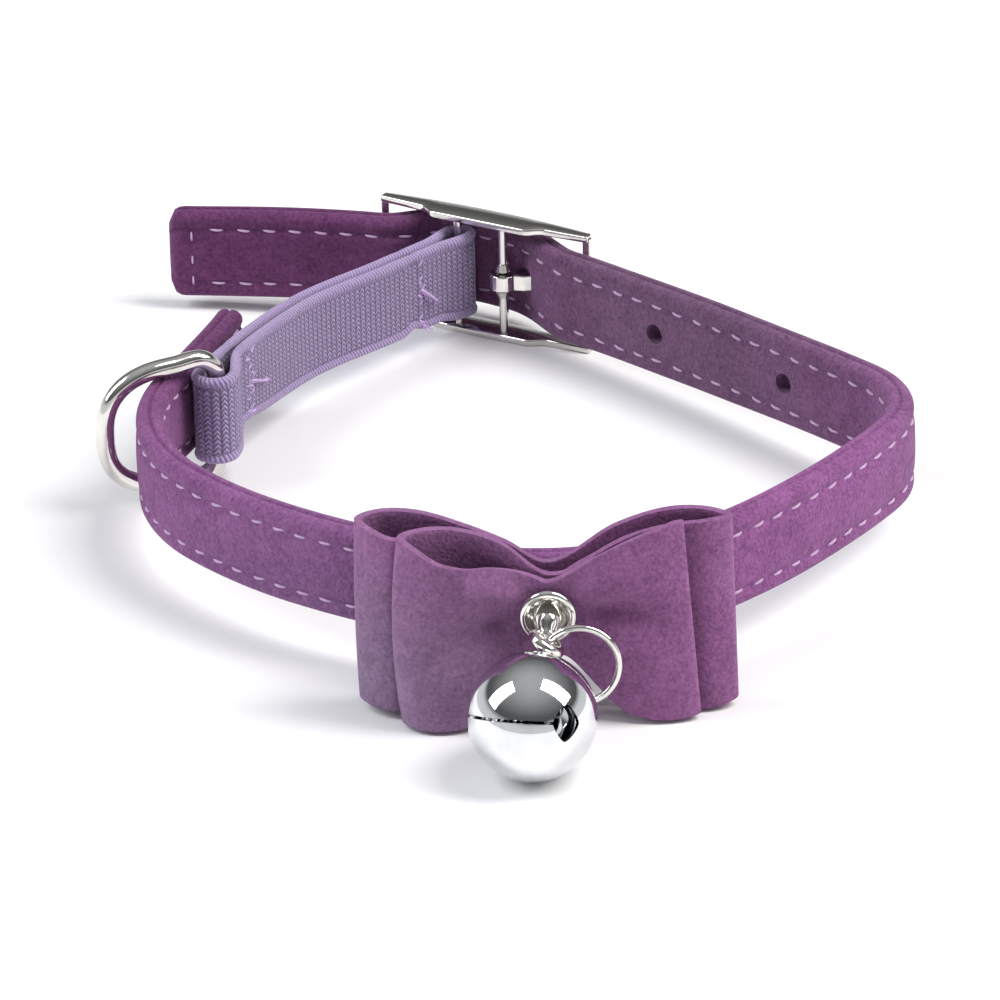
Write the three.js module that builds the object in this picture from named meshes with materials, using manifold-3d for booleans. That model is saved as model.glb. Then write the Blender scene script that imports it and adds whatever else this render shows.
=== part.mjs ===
// Pet bow tie collar, standing on its edge, fastened.
// Millimetres, +Z up, the bow at the front (-Y), the buckle at the back.
// While it is built, the strap's middle line passes x = 0, y = 0 behind the bow and the floor is z = 0.
// The last lines move the whole collar so that the origin is the middle of its footprint on the floor.

import * as THREE from 'three';
import { mergeVertices } from 'three/addons/utils/BufferGeometryUtils.js';
import Module from 'manifold-3d';

const wasm = await Module();
wasm.setup();

// Clearances
const gap = 0.3;             // between neighbouring pieces
const slitGap = 0.25;        // round the prong where it passes through the strap

// Strap
const strapWidth = 10.4;
const strapThickness = 2.8;
const strapEdge = 1.1;       // radius of its padded edges
const tailReach = 154.2;     // along the strap, from the bow to the tail's end
const lapReach = 87;         // along the strap, from the bow to the end sewn on the elastic
const endCorner = 1.6;       // radius of the corners at both ends
const strapStep = 3.2;       // length of one facet
const holeDiameter = 2;
const holeSpacing = 19.2;
const prongHoleFromBar = 3.4;

// Route of the strap away from the bow: each bend takes a share of the reach and turns by some degrees
const tailRoute = [
  { bend: 'under the bow', share: 0.045, turn: 18.3 },
  { bend: 'front', share: 0.084, turn: 24.9 },
  { bend: 'right side', share: 0.184, turn: 16.8 },
  { bend: 'right corner', share: 0.096, turn: 70.6 },
  { bend: 'run to the buckle', share: 0.266, turn: 5.5 },
  { bend: 'in the buckle', share: 0.156, turn: 25.7 },
  { bend: 'tail', share: 0.169, turn: 12.3 },
];
const lapRoute = [
  { bend: 'under the bow', share: 0.081, turn: 20.3 },
  { bend: 'front', share: 0.151, turn: 10.6 },
  { bend: 'left side', share: 0.259, turn: 22.5 },
  { bend: 'left corner', share: 0.299, turn: 59.1 },
  { bend: 'lap', share: 0.21, turn: -6.5 },
];

// Elastic webbing
const elasticWidth = 10;
const elasticThickness = 1.2;
const elasticLayerGap = 0.4;
const elasticPinch = 5;      // length over which the two layers close up beside a bar
const elasticMeetAngle = 77; // degrees at which it reaches the buckle, from the frame's length
const lapShare = 0.35;       // share of the elastic that lies flat along the strap

// Buckle
const buckleShare = 0.769;   // its middle, as a share of the tail's reach
const railLength = 25.4;
const railThickness = 1.1;
const railBevel = 0.3;
const railDepth = 3.2;       // at its middle
const railBossLength = 11;   // deeper middle stretch that carries the two bars
const railBossRamp = 2;
const railTipDepth = 1.2;
const windowHeight = 11.8;   // clear height between the rails
const barDiameter = 1;
const railBarSetback = 1;    // from the boss's inner edge to the line of the bars
const prongBarPlace = 2.5;   // from the frame's middle towards the bow
const elasticBarPlace = -3;
const collarDiameter = 1.8;
const collarHeight = 0.8;
const prongWidth = 1.8;
const prongThickness = 0.7;

// D-ring
const ringWire = 1.95;
const ringInnerHeight = 11.3;
const ringShare = 0.81;      // place of its straight bar, as a share of the lap's reach
const ringLeg = 4.4;         // straight part beside the bar
const ringArcDepth = 8;
const ringTurn = 45;         // degrees that it is turned forward from square to the strap
const ringFullness = 2.6;    // power of the arc's superellipse, 2 is a plain ellipse

// Bow
const bowThickness = 1;
const bowPinchHeight = 8.6;  // gathered height under the rivet
const bowDepth = 5;          // depth that the loops' forms are measured by
const foldDepth = 0.7;
const foldStart = 3.2;       // from the rivet's axis
const foldEnd = 13;
const foldCount = 8;         // ridges in a full turn round the rivet
const backBow = { width: 37.8, height: 19.8 };
const frontBow = { width: 28.6, height: 20.9 };
// Each wing: its reach is a share of the bow's width, its swing forward at the end, the bulge of its
// front wall and the hollow of its back wall are shares of bowDepth, and the rises are how fast it widens
backBow.wings = {
  left: { reach: 0.487, swing: -0.22, bulge: 0.48, hollow: 0.19, topRise: 1.6, bottomRise: 2.6 },
  right: { reach: 0.479, swing: 0.24, bulge: 0.11, hollow: 0.12, topRise: 2.2, bottomRise: 2.2 },
};
frontBow.wings = {
  left: { reach: 0.497, swing: 0.2, bulge: 0.6, hollow: 0.06, topRise: 1, bottomRise: 3.4 },
  right: { reach: 0.483, swing: 0.2, bulge: 0.14, hollow: 0.04, topRise: 2.2, bottomRise: 2.4 },
};

// Rivet and jump ring
const rivetLift = 1.6;       // of the rivet and the gather above the strap's middle
const discDiameter = 5.7;
const discThickness = 0.8;
const discDish = 0.35;       // how far its middle is hollowed
const postDiameter = 1.6;
const capDiameter = 5;
const capThickness = 1.1;
const eyeWire = 1.3;
const eyeHole = 1.4;         // diameter
const eyeSide = 0.2;
const eyeDrop = 1.6;         // of the eye below the rivet's axis
const jumpWire = 0.7;
const jumpDiameter = 7.8;    // to the middle of its wire
const jumpLean = 8;          // degrees that it leans back from upright
const jumpEyeTurn = 144;     // where the rivet's eye holds it, degrees from its right side
const jumpShankTurn = -95;   // where the bell's shank holds it

// Bell
const bellDiameter = 12.8;
const bellWall = 0.5;
const bellForward = 15.8;    // of its middle, in front of the strap's front face
const bellSide = -1.8;
const slitWidth = 0.8;
const slitReach = 64;        // degrees each way from the slit's middle
const bellHole = 2.6;
const shankWire = 0.7;
const shankHole = 2.1;       // diameter
const pelletDiameter = 4;

const suede = { color: 0x6d2c68, roughness: 0.95, metalness: 0 };
const webbing = { color: 0x7b62a3, roughness: 0.85, metalness: 0 };
const nickel = { color: 0xc9c5bd, roughness: 0.2, metalness: 1 };
const chrome = { color: 0xd5d8dc, roughness: 0.08, metalness: 1 };

const collar = new THREE.Group();

function addPiece(name, geometry, finish, parent = collar) {
  const mesh = new THREE.Mesh(geometry, new THREE.MeshStandardMaterial(finish));
  mesh.name = name;
  parent.add(mesh);
  return mesh;
}

function smooth(edge0, edge1, value) {
  return THREE.MathUtils.smoothstep(value, edge0, edge1);
}

// Solids from geometries and back, for cuts and joins

function toSolid(geometry, matrix = null) {
  const bare = geometry.clone();
  bare.deleteAttribute('normal');
  bare.deleteAttribute('uv');
  if (matrix) bare.applyMatrix4(matrix);
  const merged = mergeVertices(bare, 1e-5);
  return new wasm.Manifold(new wasm.Mesh({
    numProp: 3,
    vertProperties: new Float32Array(merged.attributes.position.array),
    triVerts: new Uint32Array(merged.index.array),
  }));
}

function toGeometry(solid) {
  const mesh = solid.getMesh();
  const geometry = new THREE.BufferGeometry();
  geometry.setAttribute('position', new THREE.BufferAttribute(mesh.vertProperties, 3));
  geometry.setIndex(new THREE.BufferAttribute(mesh.triVerts, 1));
  geometry.computeVertexNormals();
  return geometry;
}

// A matrix that takes a shape made along +Z to a place, with its Z along the given direction
function alongMatrix(place, direction) {
  const turn = new THREE.Quaternion().setFromUnitVectors(
    new THREE.Vector3(0, 0, 1), direction.clone().normalize());
  return new THREE.Matrix4().compose(place, turn, new THREE.Vector3(1, 1, 1));
}

// A cylinder about +Z, its middle at the origin
function rod(radius, length, sides = 12, topRadius = radius) {
  return new THREE.CylinderGeometry(topRadius, radius, length, sides).rotateX(Math.PI / 2);
}

// Joins a grid of rings, each a list of points, into a closed body, either a loop or with two end caps
function skin(rings, isLoop) {
  const perRing = rings[0].length;
  const positions = rings.flat().flatMap((point) => [point.x, point.y, point.z]);
  const faces = [];
  const spans = isLoop ? rings.length : rings.length - 1;
  for (let ring = 0; ring < spans; ring += 1) {
    const next = (ring + 1) % rings.length;
    for (let side = 0; side < perRing; side += 1) {
      const beside = (side + 1) % perRing;
      const a = ring * perRing + side;
      const b = ring * perRing + beside;
      const c = next * perRing + beside;
      const d = next * perRing + side;
      faces.push(a, c, b, a, d, c);
    }
  }
  if (!isLoop) {
    for (let side = 1; side < perRing - 1; side += 1) {
      faces.push(0, side, side + 1);
      const last = (rings.length - 1) * perRing;
      faces.push(last, last + side + 1, last + side);
    }
  }
  const geometry = new THREE.BufferGeometry();
  geometry.setAttribute('position', new THREE.Float32BufferAttribute(positions, 3));
  geometry.setIndex(faces);
  geometry.computeVertexNormals();
  return geometry;
}

// A rounded rectangle, anticlockwise, as [across, up] pairs
function bandSection(halfAcross, halfUp, radius, steps) {
  const corner = Math.min(radius, halfAcross * 0.95, halfUp * 0.95);
  const points = [];
  const centres = [[1, 1], [-1, 1], [-1, -1], [1, -1]];
  centres.forEach(([sideAcross, sideUp], quarter) => {
    for (let step = 0; step <= steps; step += 1) {
      const angle = (quarter + step / steps) * Math.PI / 2;
      points.push([
        sideAcross * (halfAcross - corner) + corner * Math.cos(angle),
        sideUp * (halfUp - corner) + corner * Math.sin(angle),
      ]);
    }
  });
  return points;
}

// The strap's route

// The place and heading some way along a route that starts at x = 0, y = 0 along +X and turns left
function walk(route, reach, distance) {
  const place = new THREE.Vector2(0, 0);
  let heading = 0;
  let left = distance;
  route.forEach((row, index) => {
    const length = row.share * reach;
    const isLast = index === route.length - 1;
    const run = isLast ? left : Math.min(left, length);
    if (run <= 0) return;
    const curve = THREE.MathUtils.degToRad(row.turn) / length;
    const end = heading + curve * run;
    place.x += (Math.sin(end) - Math.sin(heading)) / curve;
    place.y += (Math.cos(heading) - Math.cos(end)) / curve;
    heading = end;
    left -= run;
  });
  return { place, heading };
}

// Positive stations run from the bow to the tail's end, negative ones to the end that laps the elastic
function baseFrame(station) {
  if (station >= 0) {
    const { place, heading } = walk(tailRoute, tailReach, station);
    const along = new THREE.Vector2(Math.cos(heading), Math.sin(heading));
    return { place, along, outward: new THREE.Vector2(along.y, -along.x) };
  }
  const { place, heading } = walk(lapRoute, lapReach, -station);
  place.x = -place.x;
  const along = new THREE.Vector2(Math.cos(heading), -Math.sin(heading));
  return { place, along, outward: new THREE.Vector2(along.y, -along.x) };
}

// The buckle's place: x along the frame towards the bow, y outward
const buckleStation = buckleShare * tailReach;
const buckleBase = baseFrame(buckleStation);
const buckleHeight = windowHeight + 2 * railThickness;
const barRadius = barDiameter / 2;
const endBarPlace = railLength / 2 - barRadius - 0.2;

// Inside the buckle the strap rises over the two middle bars and dives under the end bars
const weaveRise = barRadius + gap + elasticThickness + gap + strapThickness / 2;
function weave(station) {
  const fromMiddle = buckleStation - station;
  const crest = elasticBarPlace - elasticThickness;
  const toTail = crest - fromMiddle;
  if (toTail > 0) {
    const fall = endBarPlace + crest;
    return weaveRise * (1 + Math.cos(Math.PI * Math.min(toTail / fall, 1))) / 2;
  }
  const lead = prongBarPlace - barDiameter;
  const fall = endBarPlace - lead;
  const toBow = Math.max(fromMiddle - lead, 0);
  return weaveRise * (1 + Math.cos(Math.PI * Math.min(toBow / fall, 1))) / 2;
}

// The collar leans on the bow in front and on the buckle behind, so its middle sinks towards the back
const frontHeight = frontBow.height / 2;
function middleHeight(y) {
  return THREE.MathUtils.mapLinear(y, 0, buckleBase.place.y, frontHeight, buckleHeight / 2);
}

function strapPlace(station) {
  const { place, outward } = baseFrame(station);
  return place.clone().addScaledVector(outward, weave(station));
}

function strapFrame(station) {
  const place = strapPlace(station);
  const along = strapPlace(station + 0.1).sub(strapPlace(station - 0.1)).normalize();
  return { place, along, outward: new THREE.Vector2(along.y, -along.x) };
}

function stationList(from, to, step) {
  const count = Math.ceil((to - from) / step);
  return Array.from({ length: count + 1 }, (_, index) => from + (to - from) * index / count);
}

// Strap

function strapRing(station) {
  const { place, outward } = strapFrame(station);
  const fromEnd = Math.min(tailReach - station, station + lapReach);
  const missing = Math.max(endCorner - fromEnd, 0);
  const cornerLoss = endCorner - Math.sqrt(Math.max(endCorner ** 2 - missing ** 2, 0));
  const section = bandSection(strapThickness / 2, strapWidth / 2 - cornerLoss, strapEdge, 2);
  const height = middleHeight(place.y);
  return section.map(([across, up]) => new THREE.Vector3(
    place.x + outward.x * across, place.y + outward.y * across, height + up));
}

function strapHole(station) {
  const { place, outward } = strapFrame(station);
  const middle = new THREE.Vector3(place.x, place.y, middleHeight(place.y));
  const direction = new THREE.Vector3(outward.x, outward.y, 0);
  return toSolid(rod(holeDiameter / 2, strapThickness * 3), alongMatrix(middle, direction));
}

const strapStations = [
  -lapReach, -lapReach + endCorner * 0.3,
  ...stationList(-lapReach + endCorner, tailReach - endCorner, strapStep),
  tailReach - endCorner * 0.3, tailReach,
];
let strapSolid = toSolid(skin(strapStations.map(strapRing), false));
const prongHole = buckleStation - prongBarPlace - prongHoleFromBar;
[1, 2].forEach((count) => {
  strapSolid = strapSolid.subtract(strapHole(prongHole - count * holeSpacing));
});

// Buckle

const buckle = new THREE.Group();
const buckleTurn = Math.atan2(-buckleBase.along.y, -buckleBase.along.x);
buckle.position.set(buckleBase.place.x, buckleBase.place.y, 0);
buckle.rotation.z = buckleTurn;
buckle.updateMatrix();
collar.add(buckle);

// A point beside the strap's middle line in the buckle's own x and y, at a distance x from its middle
function strapInBuckle(x, outwardBy = 0) {
  const { place, outward } = strapFrame(buckleStation - x);
  place.addScaledVector(outward, outwardBy).sub(buckleBase.place);
  return place.rotateAround(new THREE.Vector2(0, 0), -buckleTurn);
}

function endBarAt(x) {
  return strapInBuckle(x, strapThickness / 2 + gap + barRadius);
}

const endBars = [endBarAt(endBarPlace), endBarAt(-endBarPlace)];

function railShape() {
  const tips = endBars.map((bar) => ({ inner: bar.y - railTipDepth / 2, outer: bar.y + railTipDepth / 2 }));
  const half = railLength / 2;
  const boss = railBossLength / 2;
  const ramp = boss + railBossRamp;
  const step = railBarSetback;
  const outerMiddle = railDepth - railBarSetback;
  const shape = new THREE.Shape();
  shape.moveTo(-half, tips[1].inner);
  shape.lineTo(-ramp, 0);
  shape.bezierCurveTo(-ramp + railBossRamp / 2, 0, -boss - railBossRamp / 2, -step, -boss, -step);
  shape.lineTo(boss, -step);
  shape.bezierCurveTo(boss + railBossRamp / 2, -step, ramp - railBossRamp / 2, 0, ramp, 0);
  shape.lineTo(half, tips[0].inner);
  shape.lineTo(half, tips[0].outer);
  const crest = 2 * outerMiddle - (tips[0].outer + tips[1].outer) / 2;
  shape.quadraticCurveTo(0, crest, -half, tips[1].outer);
  shape.closePath();
  return shape;
}

function rail(bottom) {
  const geometry = new THREE.ExtrudeGeometry(railShape(), {
    depth: railThickness - 2 * railBevel,
    bevelThickness: railBevel,
    bevelSize: railBevel,
    bevelOffset: -railBevel,
    bevelSegments: 1,
    curveSegments: 8,
  });
  return toSolid(geometry.translate(0, 0, bottom + railBevel));
}

function bar(x, y) {
  const reach = windowHeight + railThickness;
  return toSolid(rod(barRadius, reach).translate(x, y, buckleHeight / 2));
}

function stopCollar(side) {
  const middle = buckleHeight / 2 + side * (prongWidth / 2 + gap + collarHeight / 2);
  const wide = collarDiameter / 2;
  const collarRod = rod(side > 0 ? wide : barRadius, collarHeight, 12, side > 0 ? barRadius : wide);
  return toSolid(collarRod.translate(prongBarPlace, 0, middle));
}

let frameSolid = rail(0).add(rail(buckleHeight - railThickness));
endBars.forEach((place) => {
  frameSolid = frameSolid.add(bar(place.x, place.y));
});
[prongBarPlace, elasticBarPlace].forEach((place) => {
  frameSolid = frameSolid.add(bar(place, 0));
});
[1, -1].forEach((side) => {
  frameSolid = frameSolid.add(stopCollar(side));
});
addPiece('buckle_frame', toGeometry(frameSolid), nickel, buckle);

// Prong: a ring round its bar and an arm that goes out through the strap and lies on the end bar

const prongRing = barRadius + gap + prongThickness / 2;
const holeInBuckle = strapInBuckle(prongBarPlace + prongHoleFromBar);
const leaveInBuckle = strapInBuckle(prongBarPlace + prongHoleFromBar + strapThickness * 0.9);
const clearOfStrap = strapThickness / 2 + gap + prongThickness / 2;
const tipHeight = endBars[0].y + barRadius + gap + prongThickness / 2;
const armCurve = new THREE.CatmullRomCurve3([
  new THREE.Vector3(prongBarPlace + prongRing, 0, 0),
  new THREE.Vector3(holeInBuckle.x - strapThickness * 0.35, holeInBuckle.y - strapThickness * 0.55, 0),
  new THREE.Vector3(holeInBuckle.x + strapThickness * 0.1, holeInBuckle.y, 0),
  new THREE.Vector3(leaveInBuckle.x, leaveInBuckle.y + clearOfStrap, 0),
  new THREE.Vector3(endBars[0].x, tipHeight, 0),
  new THREE.Vector3(endBars[0].x + barDiameter, tipHeight, 0),
]);

function armSolid(extra) {
  const steps = 16;
  const rings = stationList(0, 1, 1 / steps).map((share) => {
    const middle = armCurve.getPointAt(share);
    const along = armCurve.getTangentAt(share);
    const out = new THREE.Vector3(-along.y, along.x, 0);
    const narrowing = 1 - 0.35 * smooth(0.85, 1, share);
    const halfThick = (prongThickness / 2) * narrowing + extra;
    const halfWide = (prongWidth / 2) * narrowing + extra;
    return [[1, -1], [1, 1], [-1, 1], [-1, -1]].map(([across, up]) => middle.clone()
      .addScaledVector(out, across * halfThick)
      .add(new THREE.Vector3(0, 0, buckleHeight / 2 + up * halfWide)));
  });
  return toSolid(skin(rings.reverse(), false));
}

function prongRingSolid() {
  const outline = new THREE.Shape();
  outline.absarc(prongBarPlace, 0, prongRing + prongThickness / 2, 0, Math.PI * 2);
  const bore = new THREE.Path();
  bore.absarc(prongBarPlace, 0, prongRing - prongThickness / 2, 0, Math.PI * 2);
  outline.holes.push(bore);
  const geometry = new THREE.ExtrudeGeometry(outline, {
    depth: prongWidth, bevelEnabled: false, curveSegments: 8,
  });
  return toSolid(geometry.translate(0, 0, buckleHeight / 2 - prongWidth / 2));
}

const prongBore = toSolid(rod(barRadius + gap, prongWidth * 2).translate(prongBarPlace, 0, buckleHeight / 2));
addPiece('buckle_prong', toGeometry(armSolid(0).subtract(prongBore).add(prongRingSolid())), nickel, buckle);
strapSolid = strapSolid.subtract(armSolid(slitGap).transform(buckle.matrix.toArray()));

// D-ring: x away from its straight bar, z up

const ringStation = -ringShare * lapReach;
const ringBase = baseFrame(ringStation);
const ringRadius = ringWire / 2;
const ringInward = strapThickness / 2 + gap + elasticThickness + gap + ringRadius;
const ringBar = ringBase.place.clone().addScaledVector(ringBase.outward, -ringInward);
const ringHalf = ringInnerHeight / 2 + ringRadius;

function ringPoint(turn) {
  const side = Math.sign(Math.cos(turn)) * Math.abs(Math.cos(turn)) ** (2 / ringFullness);
  const up = Math.sign(Math.sin(turn)) * Math.abs(Math.sin(turn)) ** (2 / ringFullness);
  return new THREE.Vector3(ringLeg + ringArcDepth * side, 0, ringHalf * up);
}

const ringPoints = [
  ...stationList(-90, 90, 15).map((turn) => ringPoint(THREE.MathUtils.degToRad(turn))),
  new THREE.Vector3(ringRadius * 1.3, 0, ringHalf),
  new THREE.Vector3(0, 0, ringHalf - ringRadius * 1.3),
  new THREE.Vector3(0, 0, ringHalf / 3),
  new THREE.Vector3(0, 0, -ringHalf / 3),
  new THREE.Vector3(0, 0, -ringHalf + ringRadius * 1.3),
  new THREE.Vector3(ringRadius * 1.3, 0, -ringHalf),
];
const ringCurve = new THREE.CatmullRomCurve3(ringPoints, true, 'centripetal');
const dRing = addPiece('d_ring', new THREE.TubeGeometry(ringCurve, 40, ringRadius, 8, true), nickel);
dRing.position.set(ringBar.x, ringBar.y, middleHeight(ringBar.y));
dRing.rotation.z = Math.atan2(ringBase.outward.y, ringBase.outward.x) + THREE.MathUtils.degToRad(ringTurn);

// Elastic: one flat loop of webbing round the D-ring's bar and the buckle's elastic bar

const elasticStart = ringBar;
const elasticEnd = new THREE.Vector2(elasticBarPlace, 0)
  .rotateAround(new THREE.Vector2(0, 0), buckleTurn).add(buckleBase.place);
const elasticSpan = elasticStart.distanceTo(elasticEnd);
const startAlong = ringBase.along.clone().negate();
const meetTurn = buckleTurn + THREE.MathUtils.degToRad(elasticMeetAngle);
const endAlong = new THREE.Vector2(Math.cos(meetTurn), Math.sin(meetTurn));
const elasticCurve = new THREE.CubicBezierCurve(
  elasticStart,
  elasticStart.clone().addScaledVector(startAlong, elasticSpan * 0.5),
  elasticEnd.clone().addScaledVector(endAlong, -elasticSpan * 0.3),
  elasticEnd,
);
const startSpread = ringRadius + gap + elasticThickness / 2;
const endSpread = barRadius + gap + elasticThickness / 2;
const pinchSpread = (elasticThickness + elasticLayerGap) / 2;

// Half the distance between the layers, and how far the outer layer lies from the curve
function elasticSpread(share) {
  const fromStart = share * elasticSpan;
  const fromEnd = (1 - share) * elasticSpan;
  const half = pinchSpread + (startSpread - pinchSpread) * (1 - smooth(0, elasticPinch, fromStart))
    + (endSpread - pinchSpread) * (1 - smooth(0, elasticPinch, fromEnd));
  const outer = THREE.MathUtils.lerp(startSpread, half, smooth(lapShare, lapShare * 2, share));
  return { inner: 2 * half - outer, outer };
}

function elasticLine() {
  const line = [];
  const shares = stationList(0, 1, 1 / 22);
  const side = (share, sign) => {
    const place = elasticCurve.getPoint(share);
    const along = elasticCurve.getTangent(share);
    const inward = new THREE.Vector2(along.y, -along.x);
    const { inner, outer } = elasticSpread(share);
    return place.addScaledVector(inward, sign > 0 ? inner : -outer);
  };
  const turnRound = (centre, along, spread, sign) => {
    for (let step = 1; step < 7; step += 1) {
      const angle = Math.atan2(along.y, along.x) - sign * Math.PI / 2 + sign * Math.PI * step / 7;
      line.push(new THREE.Vector2(
        centre.x + spread * Math.cos(angle), centre.y + spread * Math.sin(angle)));
    }
  };
  shares.forEach((share) => line.push(side(share, 1)));
  turnRound(elasticEnd, endAlong, endSpread, 1);
  shares.slice().reverse().forEach((share) => line.push(side(share, -1)));
  turnRound(elasticStart, startAlong.clone().negate(), startSpread, 1);
  return line;
}

function bandLoop(line, sectionAt) {
  const count = line.length;
  return skin(line.map((place, index) => {
    const along = line[(index + 1) % count].clone().sub(line[(index + count - 1) % count]).normalize();
    const across = new THREE.Vector2(along.y, -along.x);
    return sectionAt(place, across);
  }), true);
}

addPiece('elastic', bandLoop(elasticLine(), (place, across) => {
  const section = bandSection(elasticThickness / 2, elasticWidth / 2, elasticThickness * 0.4, 1);
  const height = middleHeight(place.y);
  return section.map(([side, up]) => new THREE.Vector3(
    place.x + across.x * side, place.y + across.y * side, height + up));
}), webbing);

// Bow: two closed bands, pinched between the strap and the rivet's disc

const bowPitch = bowThickness + gap;
backBow.seat = strapThickness / 2 + bowPitch;
frontBow.seat = backBow.seat + 2 * bowPitch;

// How far one wall lies in front of the strap's middle line, at a distance x to the side
// The walls are flat under the rivet's disc
function wallDepth(bow, face, x) {
  const wing = x < 0 ? bow.wings.left : bow.wings.right;
  const flat = discDiameter / 2;
  const share = THREE.MathUtils.clamp((Math.abs(x) - flat) / (wing.reach * bow.width - flat), 0, 1);
  const turn = Math.acos(1 - 2 * share);
  const loop = Math.sin(turn) * Math.sin(turn / 2) ** 2 / 0.65;
  const middle = bow.seat + wing.swing * bowDepth * share ** 1.5;
  const pinch = (bowPitch / 2) * Math.sqrt(1 - share);
  if (face === 'front') return middle + pinch + wing.bulge * bowDepth * loop;
  const free = middle - pinch - wing.hollow * bowDepth * loop;
  if (bow === frontBow && share < 1) {
    return Math.max(free, wallDepth(backBow, 'front', x) + bowPitch);
  }
  return free;
}

// Height of an edge above or below the bow's middle line: gathered at the rivet, full at the wings' ends
function bowEdge(bow, x, side) {
  const wing = x < 0 ? bow.wings.left : bow.wings.right;
  const share = Math.min(Math.abs(x) / (wing.reach * bow.width * 0.92), 1);
  const low = bowPinchHeight / 2 + side * rivetLift;
  const rise = side > 0 ? wing.topRise : wing.bottomRise;
  return side * (low + (bow.height / 2 - low) * (1 - (1 - share) ** rise));
}

// Folds radiate from the rivet, deepest beside its disc
function foldForward(x, up, weight) {
  const fromRivet = up - rivetLift;
  const distance = Math.hypot(x, fromRivet);
  const strength = smooth(foldStart, foldStart * 2, distance) * (1 - smooth(foldStart * 2, foldEnd, distance));
  const angle = Math.atan2(fromRivet, Math.abs(x));
  return foldDepth * weight * strength * (1 + Math.cos(foldCount * angle)) / 2;
}

function bowLine(bow) {
  const line = [];
  const steps = 12;
  const quarter = (side, face, isOutward) => {
    const reach = bow.wings[side > 0 ? 'right' : 'left'].reach * bow.width;
    for (let step = 0; step < steps; step += 1) {
      const index = isOutward ? step : steps - step;
      const x = side * reach * (1 - Math.cos(Math.PI * index / steps)) / 2;
      line.push({ x, face, y: -wallDepth(bow, face, x) });
    }
  };
  quarter(1, 'front', true);
  quarter(1, 'back', false);
  quarter(-1, 'back', true);
  quarter(-1, 'front', false);
  return line;
}

function bowGeometry(bow, foldWeights) {
  const rows = 7;
  const line = bowLine(bow);
  const places = line.map(({ x, y }) => new THREE.Vector2(x, y));
  const count = places.length;
  return skin(places.map((place, index) => {
    const along = places[(index + 1) % count].clone().sub(places[(index + count - 1) % count]).normalize();
    const across = new THREE.Vector2(along.y, -along.x);
    const top = bowEdge(bow, place.x, 1);
    const bottom = bowEdge(bow, place.x, -1);
    const weight = foldWeights[line[index].face];
    const point = (side, row) => {
      const up = THREE.MathUtils.lerp(bottom, top, row / rows);
      const x = place.x + across.x * side * bowThickness / 2;
      const y = place.y + across.y * side * bowThickness / 2 - foldForward(place.x, up, weight);
      return new THREE.Vector3(x, y, frontHeight + up);
    };
    const rise = Array.from({ length: rows + 1 }, (_, row) => point(1, row));
    const fall = Array.from({ length: rows + 1 }, (_, row) => point(-1, rows - row));
    return [...rise, ...fall];
  }), true);
}

// Rivet

const rivetHeight = frontHeight + rivetLift;
const faceFront = frontBow.seat + bowPitch / 2 + bowThickness / 2;
const rivetBore = alongMatrix(new THREE.Vector3(0, 0, rivetHeight), new THREE.Vector3(0, 1, 0));
const rivetHole = toSolid(rod(postDiameter / 2 + gap, faceFront * 4), rivetBore);
strapSolid = strapSolid.subtract(rivetHole);
addPiece('strap', toGeometry(strapSolid), suede);
addPiece('bow_back', toGeometry(
  toSolid(bowGeometry(backBow, { back: 0, front: 0.4 })).subtract(rivetHole)), suede);
addPiece('bow_front', toGeometry(
  toSolid(bowGeometry(frontBow, { back: 0.6, front: 1 })).subtract(rivetHole)), suede);

const discBack = faceFront + gap;
const discFront = discBack + discThickness;
const discBore = postDiameter / 2 + gap;
const discProfile = [
  [discBore, 0], [discDiameter / 2 - 0.15, 0], [discDiameter / 2, 0.2],
  [discDiameter / 2 - 0.1, discThickness], [discDiameter / 2 - 0.6, discThickness],
  [discDiameter / 2 - 1.2, discThickness - discDish], [discBore, discThickness - discDish], [discBore, 0],
].map(([radius, height]) => new THREE.Vector2(radius, height));
const disc = addPiece('rivet_disc', new THREE.LatheGeometry(discProfile, 20), nickel);
disc.position.set(0, -discBack, rivetHeight);
disc.rotation.x = Math.PI;

const capSeat = strapThickness / 2 + gap;
const capDepth = capThickness * 0.6;
const capProfile = [
  [0, capThickness], [capDiameter / 4, capThickness * 0.96], [capDiameter / 2 - 0.2, capThickness * 0.6],
  [capDiameter / 2, 0.2], [capDiameter / 2 - 0.1, 0], [discBore, 0], [discBore, capDepth], [0, capDepth],
].reverse().map(([radius, height]) => new THREE.Vector2(radius, height));
const cap = addPiece('rivet_cap', new THREE.LatheGeometry(capProfile, 16), nickel);
cap.position.set(0, capSeat, rivetHeight);

// Jump ring: hangs in the rivet's eye and leans on nothing else

const jumpRadius = jumpDiameter / 2;
const leanTurn = THREE.MathUtils.degToRad(jumpLean);
const jumpUp = new THREE.Vector3(0, Math.sin(leanTurn), Math.cos(leanTurn));
const jumpRight = new THREE.Vector3(1, 0, 0);

function jumpOffset(degrees) {
  const turn = THREE.MathUtils.degToRad(degrees);
  return jumpRight.clone().multiplyScalar(jumpRadius * Math.cos(turn))
    .addScaledVector(jumpUp, jumpRadius * Math.sin(turn));
}

function jumpTangent(degrees) {
  return jumpOffset(degrees + 90).normalize();
}

const eyeRadius = (eyeHole + eyeWire) / 2;
const eyeForward = discFront + gap + eyeRadius + eyeWire / 2;
const eyePlace = new THREE.Vector3(-eyeSide, -eyeForward, rivetHeight - eyeDrop);
const jumpMiddle = eyePlace.clone().sub(jumpOffset(jumpEyeTurn));
const jump = addPiece('jump_ring', new THREE.TorusGeometry(jumpRadius, jumpWire / 2, 6, 28), nickel);
jump.position.copy(jumpMiddle);
jump.rotation.x = Math.PI / 2 - leanTurn;

// Post: a shaft through the bow and the strap, a neck and the eye that the jump ring hangs in

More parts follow.
